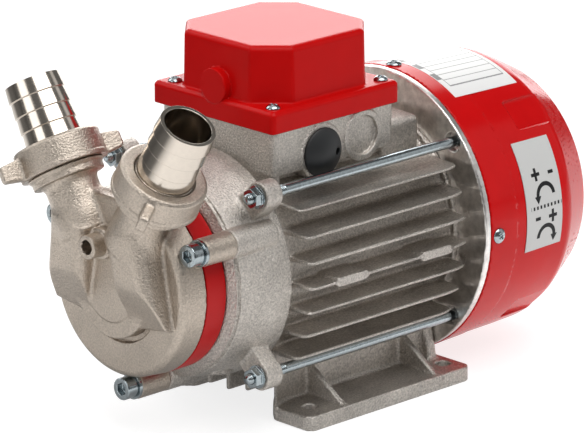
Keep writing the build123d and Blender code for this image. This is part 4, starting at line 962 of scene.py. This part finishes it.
# Fasteners: one shell of each kind, set at every place
tie_nut = surface(flange_nut, (-5.2, -6, -6), (0.5, 6, 6), (0.3, 0.3, 0.3))
tie_places = [(y, SHAFT_Z + h) for y in (-TIE_Y, TIE_Y) for h in (-TIE_H, TIE_H)]
stand_in("tie_nuts", "tie_rod_nuts", [moved(tie_nut, (LUG_FRONT, y, z)) for y, z in tie_places])
rod_front, rod_rear = LUG_FRONT - 4.7 - 2.2, 53.85
stand_in("tie_studs", "tie_rods", [
    threaded_rod((rod_front, y, z), (1, 0, 0), rod_rear - rod_front, radius=2.4, pitch=0.8, depth=0.35,
                 threaded_to=22.0) for y, z in tie_places])

washer_rear, washer = JOINT - 4.0, 1.6
washer_front = washer_rear - washer
bolt_places = [(y, SHAFT_Z + h) for y, h in HEAD_BOLTS]
cap_screw = surface(socket_screw, (-6.5, -5.6, -5.6), (33.6, 5.6, 5.6), (0.4, 0.3, 0.3))
stand_in("head_screws", "cover_bolts", [moved(cap_screw, (washer_front, y, z)) for y, z in bolt_places])
stand_in("head_washers", "cover_washers", [
    turned(ring_outline(washer_front, washer_rear, 3.2, 6.0), (0, y, z), (1, 0, 0), 0.25, 64)
    for y, z in bolt_places])

lid_screw = surface(cross_screw(3.3, 2.2, 1.9, 18.0), (-3.6, -3.6, -18.6), (3.6, 3.6, 2.6), (0.25, 0.25, 0.3))
lid_places = [(x, y, LID_FLANGE) for x in (LID_LOW[0] + LID_SCREW_IN, LID_HIGH[0] - LID_SCREW_IN)
              for y in (-LID_SCREW_Y, LID_SCREW_Y)]
stand_in("lid_pan_screws", "lid_screws", [moved(lid_screw, place, Matrix.Rotation(turn, 3, "Z"))
                                          for turn, place in zip((0.5, 1.1, 0.2, 0.8), lid_places)])
drum_screw = surface(cross_screw(3.6, 2.0, 2.0, 8.0), (-4, -4, -8.6), (4, 4, 2.4), (0.28, 0.28, 0.3))
stand_in("fan_cover_pan_screws", "fan_cover_screws", [
    moved(drum_screw,
          (COVER_SCREW_X, -COVER_RADIUS * math.sin(turn), SHAFT_Z + COVER_RADIUS * math.cos(turn)),
          Matrix.Rotation(turn, 3, "X") @ Matrix.Rotation(0.6 + turn, 3, "Z"))
    for turn in (0.0, math.pi / 2, math.pi, -math.pi / 2)])


# Two labels on the fan cover, with generic marks

def patch(x0, x1, low, high, rise=0.12, depth=0.3):
    """Closed curved sheet on the fan cover between two stations and two angles counted from -Y upwards."""
    run, angle = np.meshgrid(np.linspace(x0, x1, 31), np.radians(np.linspace(low, high, 61)), indexing="ij")
    out = np.stack([np.zeros_like(run), -np.cos(angle), np.sin(angle)], axis=-1)
    axis_points = np.stack([run, np.zeros_like(run), np.full_like(run, SHAFT_Z)], axis=-1)
    outer = axis_points + out * (cover_radius(run) + rise)[..., None]
    points = np.concatenate([outer.reshape(-1, 3), (outer - out * depth).reshape(-1, 3)])
    normals = np.concatenate([out.reshape(-1, 3), -out.reshape(-1, 3)])
    index = np.arange(run.size).reshape(run.shape)
    face = np.stack([index[:-1, :-1], index[1:, :-1], index[1:, 1:], index[:-1, 1:]], axis=-1).reshape(-1, 4)
    border = np.concatenate([index[:, 0], index[-1, 1:], index[-2::-1, -1], index[0, -2:0:-1]])
    after, count = np.roll(border, -1), run.size
    rim = np.stack([border, border + count, after + count, after], axis=-1)
    return points, normals, np.concatenate([face, face[:, ::-1] + count, rim])


def label_material(name, colour, draw):
    """Printed film; draw(x, arc) gives 1 where there is ink, with both in millimetres on the cover's side."""
    made = Material(name, roughness=0.35, specular_ior_level=0.15)
    ink, mean_radius = (0.015, 0.015, 0.016), 65.5
    out, up = made.axis("Y") * -1.0, made.axis("Z") - SHAFT_Z * MM
    arc = up.math("ARCTAN2", out) * mean_radius
    made.set(base_color=made.mix(draw(made.axis("X") / MM, arc), colour, ink))
    return made


def box_mark(x, arc, middle, half_x, half_arc):
    """1 inside a rectangle."""
    inside = (x - middle[0]).math("ABSOLUTE").math("LESS_THAN", half_x)
    return inside * (arc - middle[1]).math("ABSOLUTE").math("LESS_THAN", half_arc)


def turning_arrow(x, arc, middle, tip_side):
    """Half ring open below, with a triangle under one end."""
    radius, half, tip_length = 5.3, 1.0, 3.4
    across, height = x - middle[0], arc - middle[1]
    off = (across * across + height * height).math("SQRT")
    ring = (off - radius).math("ABSOLUTE").math("LESS_THAN", half) * height.math("GREATER_THAN", 0.0)
    flank = (across - radius * tip_side).math("ABSOLUTE") - (height + tip_length) * 0.6
    level = height.math("LESS_THAN", 0.2) * height.math("GREATER_THAN", -tip_length)
    return ring.math("MAXIMUM", flank.math("LESS_THAN", 0.0) * level)


def rotation_marks(x, arc):
    """Two turning arrows in opposite senses, with polarity signs over them and a dotted line between."""
    marks = [turning_arrow(x, arc, (86.6, 11.8), -1.0), turning_arrow(x, arc, (86.4, -7.6), 1.0)]
    for cross in ((81.9, 22.0), (90.5, 1.6)):
        marks += [box_mark(x, arc, cross, 2.8, 0.8), box_mark(x, arc, cross, 0.8, 3.0)]
    marks += [box_mark(x, arc, dash, 1.7, 0.8) for dash in ((92.0, 21.6), (80.5, 1.8))]
    dots = (x / 2.35).math("FRACT").math("LESS_THAN", 0.5)
    ink = dots * box_mark(x, arc, (86.4, 6.9), 10.3, 0.8)
    for mark in marks:
        ink = ink.math("MAXIMUM", mark)
    return ink


def rating_marks(x, arc):
    """Ruled plate: a frame, even lines and a row of plain bars."""
    middle, half, border = (79.5, 92.0), 17.6, 0.35
    plate = box_mark(x, arc, middle, half, half)
    frame_lines = plate - box_mark(x, arc, middle, half - border, half - border)
    ruled = (arc / 4.4).math("FRACT").math("LESS_THAN", 0.09) * plate
    stripes = (arc * 0.55).math("SINE").math("GREATER_THAN", 0.1)
    bars = stripes * box_mark(x, arc, (60.6, middle[1]), 1.6, half)
    return frame_lines.math("MAXIMUM", ruled).math("MAXIMUM", bars) * 0.75


piece("rotation_label", [patch(73.0, 97.0, -11.2, 33.5)],
      label_material("rotation_film", (0.60, 0.60, 0.59), rotation_marks))
piece("rating_label", [patch(58.6, 99.5, 59.0, 112.0)],
      label_material("rating_film", (0.80, 0.80, 0.79), rating_marks))

make_camera()
make_studio()
